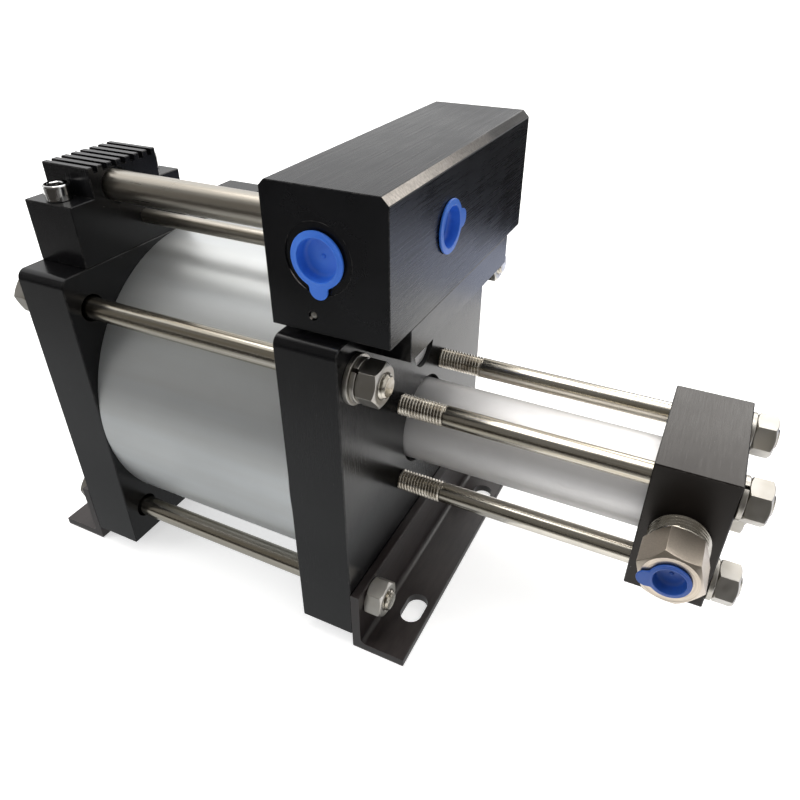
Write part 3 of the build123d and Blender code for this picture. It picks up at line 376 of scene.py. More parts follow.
class Finish:
    """A node material that is built up step by step from patterns on Object coordinates."""

    def __init__(self, name, metallic, specular=0.5):
        """Starts from the plain shader, with the piece's own coordinates at hand."""
        self.material = bpy.data.materials.new(name)
        self.material.use_nodes = True
        self.nodes = self.material.node_tree.nodes
        self.links = self.material.node_tree.links
        self.shader = self.nodes["Principled BSDF"]
        self.shader.inputs["Metallic"].default_value = metallic
        self.shader.inputs["Specular IOR Level"].default_value = specular
        self.place = self.nodes.new("ShaderNodeTexCoord").outputs["Object"]

    def put(self, value, socket):
        """Links a value's socket, or sets a plain value."""
        if isinstance(value, bpy.types.NodeSocket):
            self.links.new(value, socket)
        else:
            socket.default_value = value

    def scaled(self, scale, shift=(0, 0, 0)):
        """The piece's own coordinates, scaled and shifted."""
        mapping = self.nodes.new("ShaderNodeMapping")
        mapping.inputs["Scale"].default_value = scale
        mapping.inputs["Location"].default_value = shift
        self.links.new(self.place, mapping.inputs["Vector"])
        return mapping.outputs["Vector"]

    def noise(self, scale, detail=3.0, roughness=0.55, shift=(0, 0, 0)):
        """Noise whose cells are 1 / scale metres along each axis."""
        made = self.nodes.new("ShaderNodeTexNoise")
        made.inputs["Scale"].default_value = 1.0
        made.inputs["Detail"].default_value = detail
        made.inputs["Roughness"].default_value = roughness
        self.links.new(self.scaled(scale, shift), made.inputs["Vector"])
        return made.outputs["Fac"]

    def specks(self, scale, size):
        """Small scattered dots: cells whose middle is nearer than the size."""
        made = self.nodes.new("ShaderNodeTexVoronoi")
        made.inputs["Scale"].default_value = scale
        self.links.new(self.place, made.inputs["Vector"])
        return self.span(made.outputs["Distance"], size, size * 0.6)

    def span(self, value, low, high, to_low=0.0, to_high=1.0):
        """Value carried from one span to another and held inside it."""
        made = self.nodes.new("ShaderNodeMapRange")
        self.links.new(value, made.inputs["Value"])
        ends = {"From Min": low, "From Max": high, "To Min": to_low, "To Max": to_high}
        for socket, number in ends.items():
            made.inputs[socket].default_value = number
        return made.outputs["Result"]

    def combine(self, first, second, operation="ADD"):
        """Two values added, or joined by another operation."""
        made = self.nodes.new("ShaderNodeMath")
        made.operation = operation
        self.put(first, made.inputs[0])
        self.put(second, made.inputs[1])
        return made.outputs["Value"]

    def mix(self, amount, first, second):
        """Colour between two colours, each a socket or plain numbers."""
        share, *sockets, result = mixer(self.material.node_tree)
        self.put(amount, share)
        for socket, colour in zip(sockets, (first, second)):
            plain = not isinstance(colour, bpy.types.NodeSocket)
            self.put((*colour, 1.0) if plain else colour, socket)
        return result

    def rings(self, axis_point, axis, scale):
        """Turning marks: noise of the distance from an axis, so that it runs in circles."""
        moved = self.nodes.new("ShaderNodeVectorMath")
        moved.operation = "SUBTRACT"
        moved.inputs[1].default_value = [value * MM for value in axis_point]
        self.links.new(self.place, moved.inputs[0])
        flat = self.nodes.new("ShaderNodeVectorMath")
        flat.operation = "MULTIPLY"
        flat.inputs[1].default_value = [1.0 - abs(value) for value in axis]
        self.links.new(moved.outputs[0], flat.inputs[0])
        length = self.nodes.new("ShaderNodeVectorMath")
        length.operation = "LENGTH"
        self.links.new(flat.outputs[0], length.inputs[0])
        made = self.nodes.new("ShaderNodeTexNoise")
        made.noise_dimensions = "1D"
        made.inputs["Scale"].default_value = scale
        made.inputs["Detail"].default_value = 2.0
        self.links.new(length.outputs["Value"], made.inputs["W"])
        return made.outputs["Fac"]

    def edges(self, radius):
        """Worn edges: where the surface, rounded over the radius, turns away from itself."""
        rounded = self.nodes.new("ShaderNodeBevel")
        rounded.samples = 6
        rounded.inputs["Radius"].default_value = radius
        surface = self.nodes.new("ShaderNodeNewGeometry")
        dot = self.nodes.new("ShaderNodeVectorMath")
        dot.operation = "DOT_PRODUCT"
        self.links.new(rounded.outputs["Normal"], dot.inputs[0])
        self.links.new(surface.outputs["Normal"], dot.inputs[1])
        return self.span(dot.outputs["Value"], 0.995, 0.90)

    def facing(self, direction, low, high, both_ways=False):
        """Share of a surface that faces a direction of the object, or either way along it."""
        surface = self.nodes.new("ShaderNodeNewGeometry")
        dot = self.nodes.new("ShaderNodeVectorMath")
        dot.operation = "DOT_PRODUCT"
        self.links.new(surface.outputs["Normal"], dot.inputs[0])
        dot.inputs[1].default_value = direction
        value = dot.outputs["Value"]
        if both_ways:
            value = self.combine(value, 0.0, "ABSOLUTE")
        return self.span(value, low, high)

    def bump(self, height, strength, distance):
        """Surface normal raised and lowered by a pattern."""
        made = self.nodes.new("ShaderNodeBump")
        made.inputs["Strength"].default_value = strength
        made.inputs["Distance"].default_value = distance
        self.links.new(height, made.inputs["Height"])
        return made.outputs["Normal"]

    def done(self, colour, roughness, normal):
        """Joins the patterns to the shader and gives the material."""
        self.put(colour, self.shader.inputs["Base Color"])
        self.put(roughness, self.shader.inputs["Roughness"])
        self.put(normal, self.shader.inputs["Normal"])
        return self.material


def black_anodised(
    name, lines, dark, light, low, high, specular=0.4, tint=(1, 1, 1), relief=0.12, cut=None
):
    """Black anodised aluminium: brushing lines, which fade out on faces square to them, a cloudy
    tone, dust and bright worn edges. Where a cut direction is given, the bevel that faces it is
    paler, with fine lines across it, and a painted highlight makes it bare and bright towards the near
    end."""
    made = Finish(name, 0.0, specular)
    made.shader.inputs["Specular Tint"].default_value = (*tint, 1)
    worn, dust = (0.16, 0.15, 0.14), (0.3, 0.29, 0.28)
    grain = made.combine(made.noise(lines, 4.0, 0.65), 0.5, "SUBTRACT")
    axis = [float(value == min(lines)) for value in lines]
    square = made.facing(axis, 0.8, 0.95, both_ways=True)
    shown = made.span(square, 0.0, 1.0, 1.0, 0.06)
    brushing = made.combine(made.combine(grain, shown, "MULTIPLY"), 0.5)
    cloud = made.noise((14, 14, 14), 3.0)
    tone = made.mix(made.span(made.combine(brushing, cloud), 0.75, 1.25), dark, light)
    if cut is not None:
        bevel = made.facing(cut, 0.93, 0.99)
        fine = made.noise((900, 900, 300), 3.0, 0.6)
        grey = made.mix(made.span(fine, 0.35, 0.65), (0.012, 0.011, 0.01), (0.035, 0.032, 0.03))
        # Painted highlight: the bright bare colour is mixed in along Y towards the near end, where the
        # chamfer catches the light, and the far end keeps the dark grey.
        bare = made.mix(made.span(fine, 0.3, 0.7), (0.42, 0.38, 0.34), (0.74, 0.68, 0.62))
        along = made.nodes.new("ShaderNodeSeparateXYZ")
        made.links.new(made.place, along.inputs["Vector"])
        patchy = made.span(made.noise((8, 14, 8), 2.0), 0.3, 0.7, -0.025, 0.025)
        painted_highlight_near_end = made.span(made.combine(along.outputs["Y"], patchy), 0.02, -0.085)
        tone = made.mix(bevel, tone, made.mix(painted_highlight_near_end, grey, bare))
    broken = made.span(made.noise((260, 260, 260), 4.0, 0.7), 0.46, 0.64)
    wear = made.combine(made.edges(0.0005), broken, "MULTIPLY")
    tone = made.mix(made.combine(wear, 0.5, "MULTIPLY"), tone, worn)
    tone = made.mix(made.combine(made.specks(110.0, 0.03), 0.45, "MULTIPLY"), tone, dust)
    rough = made.span(made.combine(brushing, cloud), 0.7, 1.3, low, high)
    if cut is not None:
        rough = made.combine(rough, made.span(bevel, 0, 1, 0, 0.36))
    return made.done(tone, rough, made.bump(brushing, relief, 0.00012))


def metal(
    name, colour, warm, lines, low, high, bump=0.1, mottle=(60, 60, 60), stain=0.35, bare=1.0
):
    """Metal: fine lines along the drawing direction, warmer streaks, stains and uneven gloss. The
    bare share is below one where a clear oxide layer scatters part of the light."""
    made = Finish(name, bare)
    drawing = made.noise(lines, 4.0, 0.6)
    streak = made.noise(tuple(value * 0.23 for value in lines), 2.0, 0.5, (3.1, 1.7, 0.4))
    cloud = made.noise(mottle, 4.0, 0.6)
    stained = tuple(value * 0.7 for value in colour)
    tone = made.mix(made.span(streak, 0.38, 0.66), colour, warm)
    tone = made.mix(made.span(cloud, 0.45, 0.75, 0.0, stain), tone, stained)
    rough = made.span(made.combine(drawing, cloud), 0.75, 1.25, low, high)
    return made.done(tone, rough, made.bump(drawing, bump, 0.00008))


def turned_metal(name, colour, dark, point, axis, low, high, bump=0.25):
    """Metal off the lathe: circular tool marks on faces square to the axis, a fine grain on the
    others, and small dull spots."""
    made = Finish(name, 1.0)
    square = made.facing(tuple(axis), 0.7, 0.9, both_ways=True)
    circles = made.combine(made.rings(point, axis, 1500.0), square, "MULTIPLY")
    elsewhere = made.span(square, 0, 1, 1, 0)
    grain = made.combine(made.noise((1300, 1300, 1300), 3.0, 0.6), elsewhere, "MULTIPLY")
    marks = made.combine(circles, grain)
    cloud = made.noise((40, 40, 40), 3.0, 0.5)
    tone = made.mix(made.span(made.combine(marks, cloud), 0.8, 1.3), colour, dark)
    rough = made.span(made.combine(marks, cloud), 0.7, 1.3, low, high)
    return made.done(tone, rough, made.bump(marks, bump, 0.00008))


def moulded(name, colour, light, roughness):
    """Moulded plastic or rubber: faint flow marks, a fine grain and uneven gloss."""
    made = Finish(name, 0.0)
    flow = made.noise((45, 45, 45), 3.0)
    grain = made.noise((1400, 1400, 1400), 2.0)
    tone = made.mix(made.span(flow, 0.35, 0.7), colour, light)
    rough = made.span(made.combine(flow, grain), 0.7, 1.3, roughness - 0.06, roughness + 0.1)
    return made.done(tone, rough, made.bump(grain, 0.15, 0.0001))


block_low, block_high = span("gas_end_block")
fitting_low, fitting_high = span("inlet_fitting")
axis_height = (block_low[2] + block_high[2]) / 2
fitting_x = (fitting_low[0] + fitting_high[0]) / 2

BEVEL = (sqrt(0.5), 0, sqrt(0.5))
black_upright = black_anodised(
    "black anodised, brushed upright",
    lines=(2600, 2600, 45),
    dark=(0.0025, 0.0025, 0.003),
    light=(0.007, 0.007, 0.008),
    low=0.18,
    high=0.30,
    specular=0.33,
)
black_across = black_anodised(
    "black anodised, brushed across",
    lines=(1500, 26, 1500),
    dark=(0.001, 0.001, 0.0012),
    light=(0.0095, 0.0095, 0.011),
    low=0.16,
    high=0.38,
    specular=0.29,
    tint=(0.96, 0.98, 1.0),
    cut=BEVEL,
)
black_satin = black_anodised(
    "black anodised, satin",
    lines=(160, 60, 160),
    dark=(0.0025, 0.0025, 0.003),
    light=(0.008, 0.008, 0.009),
    low=0.20,
    high=0.28,
)
black_end = black_anodised(
    "black anodised end block",
    lines=(2400, 55, 2400),
    dark=(0.0012, 0.001, 0.001),
    light=(0.0065, 0.005, 0.0045),
    low=0.20,
    high=0.40,
    specular=0.30,
    tint=(1.0, 0.93, 0.87),
    relief=0.2,
)
black_coat = black_anodised(
    "dark coated angle",
    lines=(300, 60, 300),
    dark=(0.014, 0.0105, 0.0105),
    light=(0.033, 0.025, 0.024),
    low=0.30,
    high=0.44,
    specular=0.55,
)
clear_barrel = metal(
    "clear anodised barrel",
    colour=(0.65, 0.672, 0.68),
    warm=(0.625, 0.64, 0.64),
    lines=(22, 420, 420),
    low=0.36,
    high=0.42,
    bump=0.012,
    mottle=(9, 9, 9),
    bare=0.78,
)
clear_gas_barrel = metal(
    "satin gas barrel",
    colour=(0.74, 0.73, 0.73),
    warm=(0.71, 0.70, 0.69),
    lines=(30, 600, 600),
    low=0.46,
    high=0.54,
    bump=0.012,
    mottle=(26, 26, 26),
    bare=0.55,
)
stainless_tube = metal(
    "drawn stainless tube",
    colour=(0.55, 0.52, 0.465),
    warm=(0.46, 0.42, 0.36),
    lines=(12, 1500, 1500),
    low=0.27,
    high=0.35,
    bump=0.08,
    stain=0.15,
)
stainless_rod = metal(
    "bright stainless rod",
    colour=(0.60, 0.57, 0.51),
    warm=(0.46, 0.41, 0.32),
    lines=(25, 1300, 1300),
    low=0.14,
    high=0.26,
    bump=0.15,
)
thread_metal = metal(
    "rolled thread steel",
    colour=(0.55, 0.515, 0.45),
    warm=(0.36, 0.325, 0.27),
    lines=(700, 700, 700),
    low=0.18,
    high=0.3,
)
plated_steel = metal(
    "plated nut steel",
    colour=(0.51, 0.49, 0.455),
    warm=(0.44, 0.415, 0.37),
    lines=(400, 400, 400),
    low=0.32,
    high=0.42,
    bump=0.015,
    mottle=(50, 50, 50),
    stain=0.08,
)
chrome_screw = metal(
    "bright screw steel",
    colour=(0.70, 0.70, 0.70),
    warm=(0.60, 0.59, 0.57),
    lines=(500, 500, 500),
    low=0.08,
    high=0.18,
    bump=0.05,
)
spring_steel = metal(
    "spring steel",
    colour=(0.42, 0.41, 0.40),
    warm=(0.34, 0.32, 0.30),
    lines=(600, 600, 600),
    low=0.25,
    high=0.4,
)
fitting_steel = turned_metal(
    "turned fitting steel",
    colour=(0.65, 0.57, 0.48),
    dark=(0.54, 0.47, 0.39),
    point=(fitting_x, 0, axis_height),
    axis=to_far,
    low=0.30,
    high=0.42,
    bump=0.1,
)
bronze_bush = turned_metal(
    "turned bronze",
    colour=(0.62, 0.38, 0.16),
    dark=(0.45, 0.26, 0.10),
    point=(0, 0, axis_height),
    axis=along_x,
    low=0.22,
    high=0.38,
)
piston_metal = turned_metal(
    "turned piston aluminium",
    colour=(0.72, 0.72, 0.72),
    dark=(0.60, 0.60, 0.60),
    point=(0, 0, axis_height),
    axis=along_x,
    low=0.26,
    high=0.4,
)
blue_plastic = moulded("blue moulded plastic", (0.028, 0.142, 0.62), (0.042, 0.18, 0.70), 0.34)
deep_blue = moulded("deep blue moulded plastic", (0.016, 0.068, 0.32), (0.026, 0.095, 0.38), 0.34)
black_rubber = moulded("black seal rubber", (0.012, 0.012, 0.012), (0.025, 0.025, 0.024), 0.5)
pale_plastic = moulded("pale bearing plastic", (0.55, 0.52, 0.44), (0.68, 0.65, 0.57), 0.42)

# Solids that keep their shape

kept_nodes = {
    black_upright: ("front_plate", "rear_plate", "rear_block"),
    black_across: ("valve_block",),
    black_satin: ("adapter_block", "spool_end_cap"),
    black_end: ("gas_end_block",),
    black_coat: ("front_foot_bracket", "rear_foot_bracket"),
    piston_metal: ("air_piston", "spool_sleeve", "spool"),
    plated_steel: ("ball_plug", "piston_nut", "piston_washer", "plunger_head", "plunger_rod"),
    clear_gas_barrel: ("front_pilot_cap", "rear_pilot_cap"),
    thread_metal: ("front_pilot_pin", "rear_pilot_pin"),
    chrome_screw: ("inlet_poppet", "outlet_poppet", "adapter_screws", "valve_block_screws"),
    spring_steel: ("front_pilot_spring", "rear_pilot_spring", "inlet_spring", "outlet_spring"),
    black_rubber: (
        "barrel_o_rings",
        "gas_barrel_seals",
        "piston_seal",
        "plunger_seals",
        "rod_seal",
        "sleeve_o_rings",
    ),
    pale_plastic: ("piston_wear_band", "fitting_gaskets"),
    bronze_bush: ("rod_bush",),
}
for finish, names in kept_nodes.items():
    for name in names:
        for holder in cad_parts[name].material_slots:
            holder.material = finish

# Rods, studs and barrels

END_THREAD = 16.0
STUD_THREAD = 45.5
STUD_SHANK = 5.67
RUN_OUT = 1.5
ROD_COLUMNS = 48


def rod_places(node, radius):
    """The four corners of a rod pattern, taken from the box round the rods."""
    low, high = span(node)
    near, far = low[1] + radius, high[1] - radius
    lower, upper = low[2] + radius, high[2] - radius
    return [(y, z) for y in (near, far) for z in (lower, upper)]


def threaded_end(start, direction, length, shank):
    """End of a rod: the flat end with its thread, up to where the shank begins."""
    face = M12_ROOT - 0.4
    cap = turned([(0, 0), (0, face)], ROD_COLUMNS)
    radii = (M12_CREST, M12_ROOT, face, shank)
    screw = thread(length, M12_PITCH, *radii, RUN_OUT, ROD_COLUMNS, THREAD_STEPS)
    return [(placed(cap, start, direction), 0), (placed(screw, start, direction), THREAD_STEPS, 1)]


def rod_set(node, shank, first_thread):
    """Four rods along X: a threaded end at each side, both joined by the plain shank."""
    low, high = span(node)
    patches = []
    for y, z in rod_places(node, M12_CREST):
        patches += threaded_end((low[0], y, z), along_x, first_thread, shank)
        patches += threaded_end((high[0], y, z), back_x, END_THREAD, shank)
        ends = [(low[0] + first_thread, shank), (high[0] - END_THREAD, shank)]
        plain = turned(ends, ROD_COLUMNS)
        patches.append((placed(plain, (0, y, z), along_x), 0))
    finishes = (stainless_rod, thread_metal)
    skin(node + "_threaded", patches, finishes, "housing", [node], 50)


rod_set("tie_rods", M12_CREST, END_THREAD)
rod_set("gas_studs", STUD_SHANK, STUD_THREAD)


def tube_patch(node, outer, inner, ease, columns):
    """Tube along X: the eased rectangle between its two radii turned round its own axis."""
    low, high = span(node)
    middle = (low + high) / 2
    length = high[0] - low[0]
    corners = [(0, inner), (0, outer), (length, outer), (length, inner)]
    profile = eased(corners, ease, closed=True)
    return placed(turned(profile, columns), (low[0], middle[1], middle[2]), along_x)


# Each tube's outer and inner radius, eased edge and columns
for node, ending, shape, finish, slot in (
    ("drive_barrel", "_turned", (90.0, 80.0, 0.5, 256), clear_barrel, "clear_anodised"),
    ("gas_barrel", "_turned", (24.0, 16.0, 0.5, 160), clear_gas_barrel, "clear_anodised"),
    ("air_tube", "_drawn", (8.0, 6.5, 0.3, 96), stainless_tube, "stainless"),
    ("pilot_tube", "_drawn", (4.0, 3.0, 0.3, 64), stainless_tube, "stainless"),
):
    skin(node + ending, [(tube_patch(node, *shape), 0)], [finish], "housing", [node])

# Nuts and washers

# Height, width across flats and bore of a nut, then a washer's place and its two radii
NUT = (10.0, 19.0, 6.05)
WASHER = 2.5
WASHER_PLAY = 0.05
WASHER_RADII = (12.0, 6.5)
LOCK_RADII = (10.5, 6.3)
LOCK_GAP = 2.0
# How far the nuts on the four rods are turned, in degrees
TIE_NUT_TURNS = (14, 9, 21, 3)
STUD_NUT_TURNS = (5, 12, 24, 8)
plate_front = span("front_plate")[1][0]
plate_back = span("rear_plate")[0][0]


def lock_washer(face_x, outward, y, z, at):
    """Spring washer, a little thinner than its place, with its split at an angle."""
    ring = split_ring(WASHER - 2 * WASHER_PLAY, *LOCK_RADII, LOCK_GAP, at)
    return placed(ring, (face_x + outward[0] * WASHER_PLAY, y, z), outward), 0


def steel_set(node, ending, patches):
    """Nuts or washers of one node as one mesh."""
    skin(node + ending, patches, [plated_steel], "housing", [node])


nuts, washers, locks = [], [], []
for order, (y, z) in enumerate(rod_places("tie_rods", M12_CREST)):
    for face_x, outward in ((plate_front, along_x), (plate_back, back_x)):
        spin = radians(TIE_NUT_TURNS[order])
        start = (face_x + outward[0] * 2 * WASHER, y, z)
        nuts.append((placed(hex_nut(*NUT), start, outward, spin), 0))
        if z > axis_height:
            washer = flat_ring(WASHER - WASHER_PLAY, *WASHER_RADII)
            washers.append((placed(washer, (face_x, y, z), outward), 0))
            locks.append(lock_washer(face_x + outward[0] * WASHER, outward, y, z, 1.2 + order))
steel_set("tie_rod_nuts", "_chamfered", nuts)
steel_set("tie_rod_washers", "_rounded", washers)
steel_set("tie_rod_lock_washers", "_split", locks)

nuts, locks = [], []
for order, (y, z) in enumerate(rod_places("gas_studs", M12_CREST)):
    face_x = block_high[0]
    spin = radians(STUD_NUT_TURNS[order])
    nuts.append((placed(hex_nut(*NUT), (face_x + WASHER, y, z), along_x, spin), 0))
    locks.append(lock_washer(face_x, along_x, y, z, 0.6 + 1.4 * order))
steel_set("gas_stud_nuts", "_chamfered", nuts)
steel_set("gas_stud_lock_washers", "_split", locks)

# Socket screws


def screw_set(node, outward, head_radius, head_height, key, shank_radius, pitch):
    """Set of equal socket screws at the corners of the box round them, heads outwards. Corners
    that coincide hold one screw."""
    low, high = span(node)
    axis = int(np.argmax(np.abs(outward)))
    length = high[axis] - low[axis] - head_height
    seat = high[axis] - head_height if outward[axis] > 0 else low[axis] + head_height
    ends = zip(low + head_radius, high - head_radius)
    rows = [sorted({round(near, 2), round(far, 2)}) for near, far in ends]
    rows[axis] = [seat]
    patches = []
    for order, place in enumerate(product(*rows)):
        head, screw, tip = socket_head(head_radius, head_height, key, shank_radius, length, pitch)
        spin = 0.4 + 1.7 * order
        patches.append((placed(head, place, outward, spin), 0))
        patches.append((placed(screw, place, outward, spin), FINE_STEPS))
        patches.append((placed(tip, place, outward, spin), 0))
    skin(node + "_socket", patches, [chrome_screw], "housing", [node], 40)


# Head radius and height, key, thread radius and pitch
M8 = (6.45, 8.0, 6.0, 4.0, 1.25)
M5 = (4.2, 5.0, 4.0, 2.5, 0.8)
screw_set("rear_block_screws", up, *M8)
screw_set("end_cap_screws", to_far, *M5)

# Gas fittings and plugs

COLLAR_RADIUS = 14.2
COLLAR_PITCH = 2.0
COLLAR_END = 18.1
NOSE_RADIUS = 13.0
WAY_RADIUS = 4.0
HEX_HEIGHT = 19.5
HEX_FLATS = 27.0
HEX_TURN = radians(49.0)
PORT_CREST = 8.33
PORT_ROOT = 7.7
PORT_PITCH = 1.337
PORT_THREAD = 8.8
PORT_DEPTH = 15.5


def fitting_patches(node, outward):
    """Gas fitting, measured from its inner end: nose, threaded collar, turned hexagon and port."""
    low, high = span(node)
    mouth = COLLAR_END + HEX_HEIGHT
    thread_mouth = mouth - 6.7
    groove = COLLAR_RADIUS - 0.8
    face = 12.6
    hexagon_levels = [
        (COLLAR_END, groove),
        (COLLAR_END, None, groove, 1, 0.0, 0.0),
        (mouth, None, face, -1, 0.0, 0.15),
        (mouth, None, face, -1, 0.16, -0.09),
        (mouth, face),
        (mouth - 0.15, face - 0.6),
        (mouth - 0.15, 9.3),
        (mouth - 0.7, 8.75),
        (mouth - 6.5, 8.68),
        (thread_mouth, PORT_CREST),
    ]
    reach = hexagon_rows(hexagon(HEX_FLATS, 0.4), hexagon_levels)
    collar_radii = (COLLAR_RADIUS, COLLAR_RADIUS - 1.0, NOSE_RADIUS, groove)
    screw = thread(COLLAR_END, COLLAR_PITCH, *collar_radii, 1.6, 72, THREAD_STEPS)
    wall_radii = (PORT_CREST, PORT_ROOT, PORT_CREST, PORT_CREST)
    wall = thread(PORT_THREAD, PORT_PITCH, *wall_radii, 1.3, 64, FINE_STEPS)
    wall[..., 2] = thread_mouth - wall[..., 2]
    port_floor = mouth - PORT_DEPTH
    way = [(0, NOSE_RADIUS), (0, WAY_RADIUS), (port_floor, WAY_RADIUS), (port_floor, PORT_CREST)]
    bore = turned(way, 72)
    inner_y = high[1] if outward[1] < 0 else low[1]
    start = (fitting_x, inner_y, axis_height)
    return [
        (placed(screw, start, outward, HEX_TURN), THREAD_STEPS, 1),
        (placed(reach, start, outward, HEX_TURN), 0),
        (placed(bore, start, outward, HEX_TURN), 0),
        (placed(wall, start, outward, HEX_TURN), FINE_STEPS),
    ]


for node, outward in (("inlet_fitting", to_near), ("outlet_fitting", to_far)):
    patches = fitting_patches(node, outward)
    finishes = (fitting_steel, thread_metal)
    skin(node + "_turned", patches, finishes, "housing", [node], 34)

# Height of a plug's flange over the face, and its tab's width and length
PLUG_FLANGE = 1.5
PLUG_TAB = (8.5, 5.0)


def plug_piece(node, body, direction, tab, port_radius, overhang, finish, turn=0.0):
    """Blue plug at its port's mouth, its tab on the given side and turned on by the angle."""
    low, high = span(node)
    axis = int(np.argmax(np.abs(direction)))
    mouth = (low + high) / 2
    outer = high[axis] if direction[axis] > 0 else low[axis]
    mouth[axis] = outer - direction[axis] * PLUG_FLANGE
    tab_axis = int(np.argmax(np.abs(tab)))
    reach = port_radius + overhang
    mouth[tab_axis] = low[tab_axis] + reach if tab[tab_axis] > 0 else high[tab_axis] - reach
    across = np.cross(direction, tab)
    turned_tab = np.array(tab, float) * cos(turn) + across * np.sin(turn)
    matrix = np.stack([turned_tab, np.cross(direction, turned_tab), np.array(direction, float)])
    grid = mouth + plug_cup(port_radius, overhang, *PLUG_TAB) @ matrix
    skin(node + "_moulded", [(grid, 0)], [finish], body, [node], 50)


# Port radius, flange overhang and finish
AIR_PORT = (10.48, 1.7, blue_plastic)
GAS_PORT = (PORT_CREST, 0.9, deep_blue)
INLET_TAB_TURN = radians(14.6)
plug_piece("air_inlet_plug", "air_plug", to_near, down, *AIR_PORT)
plug_piece("exhaust_plug", "exhaust_cap", along_x, to_far, *AIR_PORT)
plug_piece("gas_inlet_plug", "gas_inlet_cap", to_near, back_x, *GAS_PORT, INLET_TAB_TURN)
plug_piece("gas_outlet_plug", "gas_outlet_cap", to_far, back_x, *GAS_PORT)

# Floor, light and camera

FLOOR_REACH = 6.0
FLOOR_DROP = 0.0002
FLOOR_GLOW = 0.55
CARD_HEIGHT = 0.001
WIDE = (-1.8, 1.8)


def sheet(name, grid):
    """Open surface from a grid of points in metres: neighbours on the grid make quads."""
    rows, columns = grid.shape[:2]
    index = np.arange(rows * columns).reshape(rows, columns)
    faces = np.stack([index[:-1, :-1], index[1:, :-1], index[1:, 1:], index[:-1, 1:]], -1)
    mesh = bpy.data.meshes.new(name)
    mesh.from_pydata(grid.reshape(-1, 3).tolist(), [], faces.reshape(-1, 4).tolist())
    piece = bpy.data.objects.new(name, mesh)
    bpy.context.scene.collection.objects.link(piece)
    return piece


floor_rows = np.linspace(-FLOOR_REACH, FLOOR_REACH, 3)
floor_x, floor_y = np.meshgrid(floor_rows, floor_rows, indexing="ij")
floor = sheet("floor", np.stack([floor_x, floor_y, np.full_like(floor_x, -FLOOR_DROP)], -1))
pale = Finish("pale floor", 0.0, 0.2)
pale.done(
    pale.mix(pale.noise((3, 3, 3)), (0.84, 0.84, 0.84), (0.88, 0.88, 0.88)),
    pale.span(pale.noise((9, 9, 9)), 0.3, 0.7, 0.75, 0.85),
    pale.bump(pale.noise((400, 400, 400)), 0.02, 0.0002),
)
pale.shader.inputs["Emission Color"].default_value = (1, 1, 1, 1)
glow = pale.combine(seen_rays(pale.material.node_tree), FLOOR_GLOW, "MULTIPLY")
pale.put(glow, pale.shader.inputs["Emission Strength"])
floor.data.materials.append(pale.material)


def reflected_card(name, reach, path, glow):
    """Studio card for the gloss alone: a path in Y and Z carried along X over its reach."""
    x = np.linspace(*reach, 7)[:, None]
    y, z = np.array(path).T
    card = sheet(name, np.stack([x + 0 * y, y + 0 * x, z + 0 * x], -1))
    cloth = Finish(name + " cloth", 0.0, 0.0)
    shade = cloth.noise((2.2, 2.2, 2.2), 2.0)
    cloth.done(
        cloth.mix(shade, (0.004, 0.004, 0.004), (0.008, 0.008, 0.008)),
        cloth.span(shade, 0.3, 0.7, 0.85, 0.95),
        cloth.bump(shade, 0.02, 0.001),
    )
    cloth.shader.inputs["Emission Color"].default_value = (*glow, 1)
    cloth.put(cloth.span(shade, 0.3, 0.7, 0.85, 1.15), cloth.shader.inputs["Emission Strength"])
    card.data.materials.append(cloth.material)
    card.visible_camera = False
    card.visible_diffuse = False
    card.visible_shadow = False


def floor_card(name, reach, near, far, glow):
    """Card that lies just over the floor, between two places along Y."""
    reflected_card(name, reach, [(near, CARD_HEIGHT), (far, CARD_HEIGHT)], glow)


near_wall = [(-0.63, CARD_HEIGHT), (-0.74, 0.10), (-0.78, 0.30)]
near_canopy = [(-0.79, 0.31), (-0.82, 0.62), (-0.76, 0.9), (-0.58, 1.06), (-0.34, 1.1)]
far_wall = [(0.54, CARD_HEIGHT), (0.56, 0.21)]
floor_card("near floor card", WIDE, -0.44, -0.27, (0.43, 0.43, 0.42))
floor_card("foot floor card", (-1.8, 0.03), -0.27, -0.15, (0.60, 0.61, 0.61))
floor_card("side floor card", (0.03, 1.8), -0.27, -0.2, (0.46, 0.46, 0.45))
floor_card("near dark card", WIDE, -0.62, -0.44, (0.10, 0.095, 0.09))
# Painted shadow: this card greys the floor's reflection under the drive end, where the object's shade
# falls. It is seen in the gloss alone.
floor_card("painted shadow under barrel card", (-0.6, 0.03), -0.15, 0.1, (0.48, 0.49, 0.49))
reflected_card("near wall card", WIDE, near_wall, (0.04, 0.036, 0.032))
reflected_card("near upper card", WIDE, near_canopy, (0.17, 0.165, 0.155))
floor_card("far floor card", (0.05, 2.2), 0.36, 0.54, (1.02, 1.1, 1.38))
floor_card("open floor card", (0.2, 2.2), -0.2, 0.36, (1.3, 1.33, 1.42))
reflected_card("far wall card", (-0.2, 2.2), far_wall, (0.03, 0.03, 0.032))

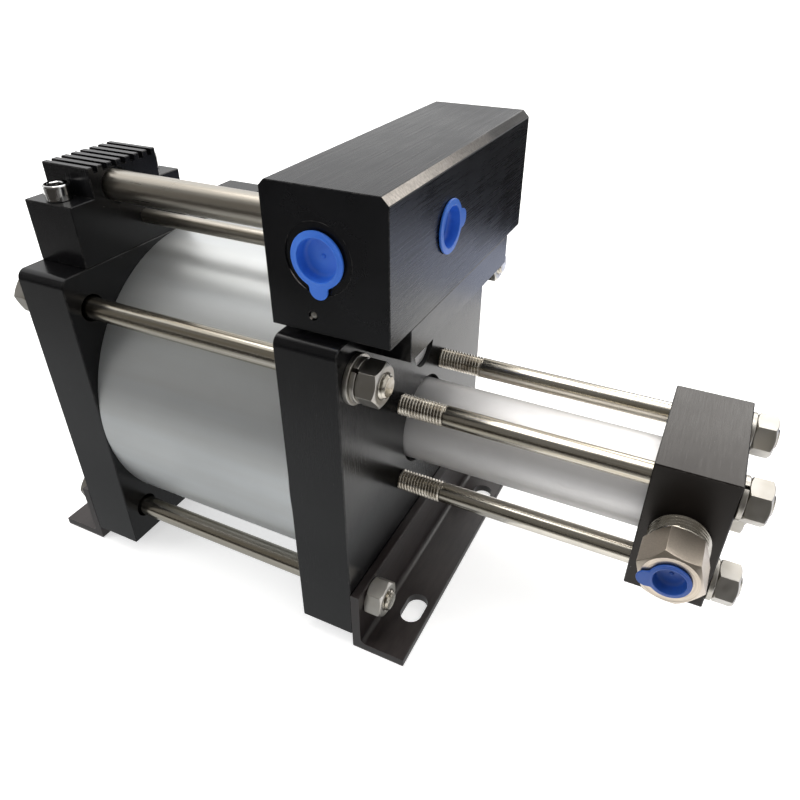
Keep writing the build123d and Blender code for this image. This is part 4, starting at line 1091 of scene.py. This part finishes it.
# The room's light is darker low down, and white to the camera and in the gloss
world = bpy.data.worlds.new("studio")
bpy.context.scene.world = world
world.use_nodes = True
sky = world.node_tree
height = sky.nodes.new("ShaderNodeSeparateXYZ")
sky.links.new(sky.nodes.new("ShaderNodeTexCoord").outputs["Generated"], height.inputs["Vector"])
ramp = sky.nodes.new("ShaderNodeValToRGB")
sky.links.new(height.outputs["Z"], ramp.inputs["Fac"])
lowest, highest = ramp.color_ramp.elements
lowest.color = (0.26, 0.26, 0.27, 1)
highest.position = 0.85
highest.color = (0.76, 0.76, 0.75, 1)
ramp.color_ramp.elements.new(0.3).color = (0.34, 0.34, 0.35, 1)
share, unseen, backdrop, room = mixer(sky)
sky.links.new(seen_rays(sky), share)
sky.links.new(ramp.outputs["Color"], unseen)
backdrop.default_value = (1, 1, 1, 1)
sky.links.new(room, sky.nodes["Background"].inputs["Color"])


def soft_light(name, place, aim, size, watts, colour=(1, 1, 1), mirrored=True):
    """Square softbox turned to face its aim, and mirrored in the metal or not."""
    data = bpy.data.lights.new(name, "AREA")
    data.shape = "SQUARE"
    data.size = size
    data.energy = watts
    data.color = colour
    lamp = bpy.data.objects.new(name, data)
    bpy.context.scene.collection.objects.link(lamp)
    lamp.visible_glossy = mirrored
    lamp.location = place
    lamp.rotation_euler = (Vector(aim) - Vector(place)).to_track_quat("-Z", "Y").to_euler()


soft_light("overhead softbox", (-0.35, 0.3, 1.9), (-0.05, 0, 0.1), 1.3, 25, (1.0, 0.975, 0.94))
soft_light("left softbox", (-1.5, -1.1, 1.0), (-0.05, 0, 0.12), 0.9, 11, mirrored=False)
soft_light("far softbox", (0.35, 1.6, 1.15), (0, 0, 0.12), 0.9, 9, (1.0, 0.98, 0.95))

# The camera fitted to the photo: lens in millimetres, place in metres and turns in degrees
LENS = 31.11
CAMERA_PLACE = (0.11104, -0.29953, 0.33245)
LOOK_DOWN = 33.93
LOOK_LEFT = 26.19
camera_data = bpy.data.cameras.new("camera")
camera_data.lens = LENS
camera_data.sensor_width = 36.0
camera_data.clip_start = 0.01
camera = bpy.data.objects.new("camera", camera_data)
bpy.context.scene.collection.objects.link(camera)
camera.location = CAMERA_PLACE
camera.rotation_euler = (radians(90 - LOOK_DOWN), 0, radians(LOOK_LEFT))
bpy.context.scene.camera = camera
bpy.context.scene.view_settings.view_transform = "Standard"

bpy.context.view_layer.update()
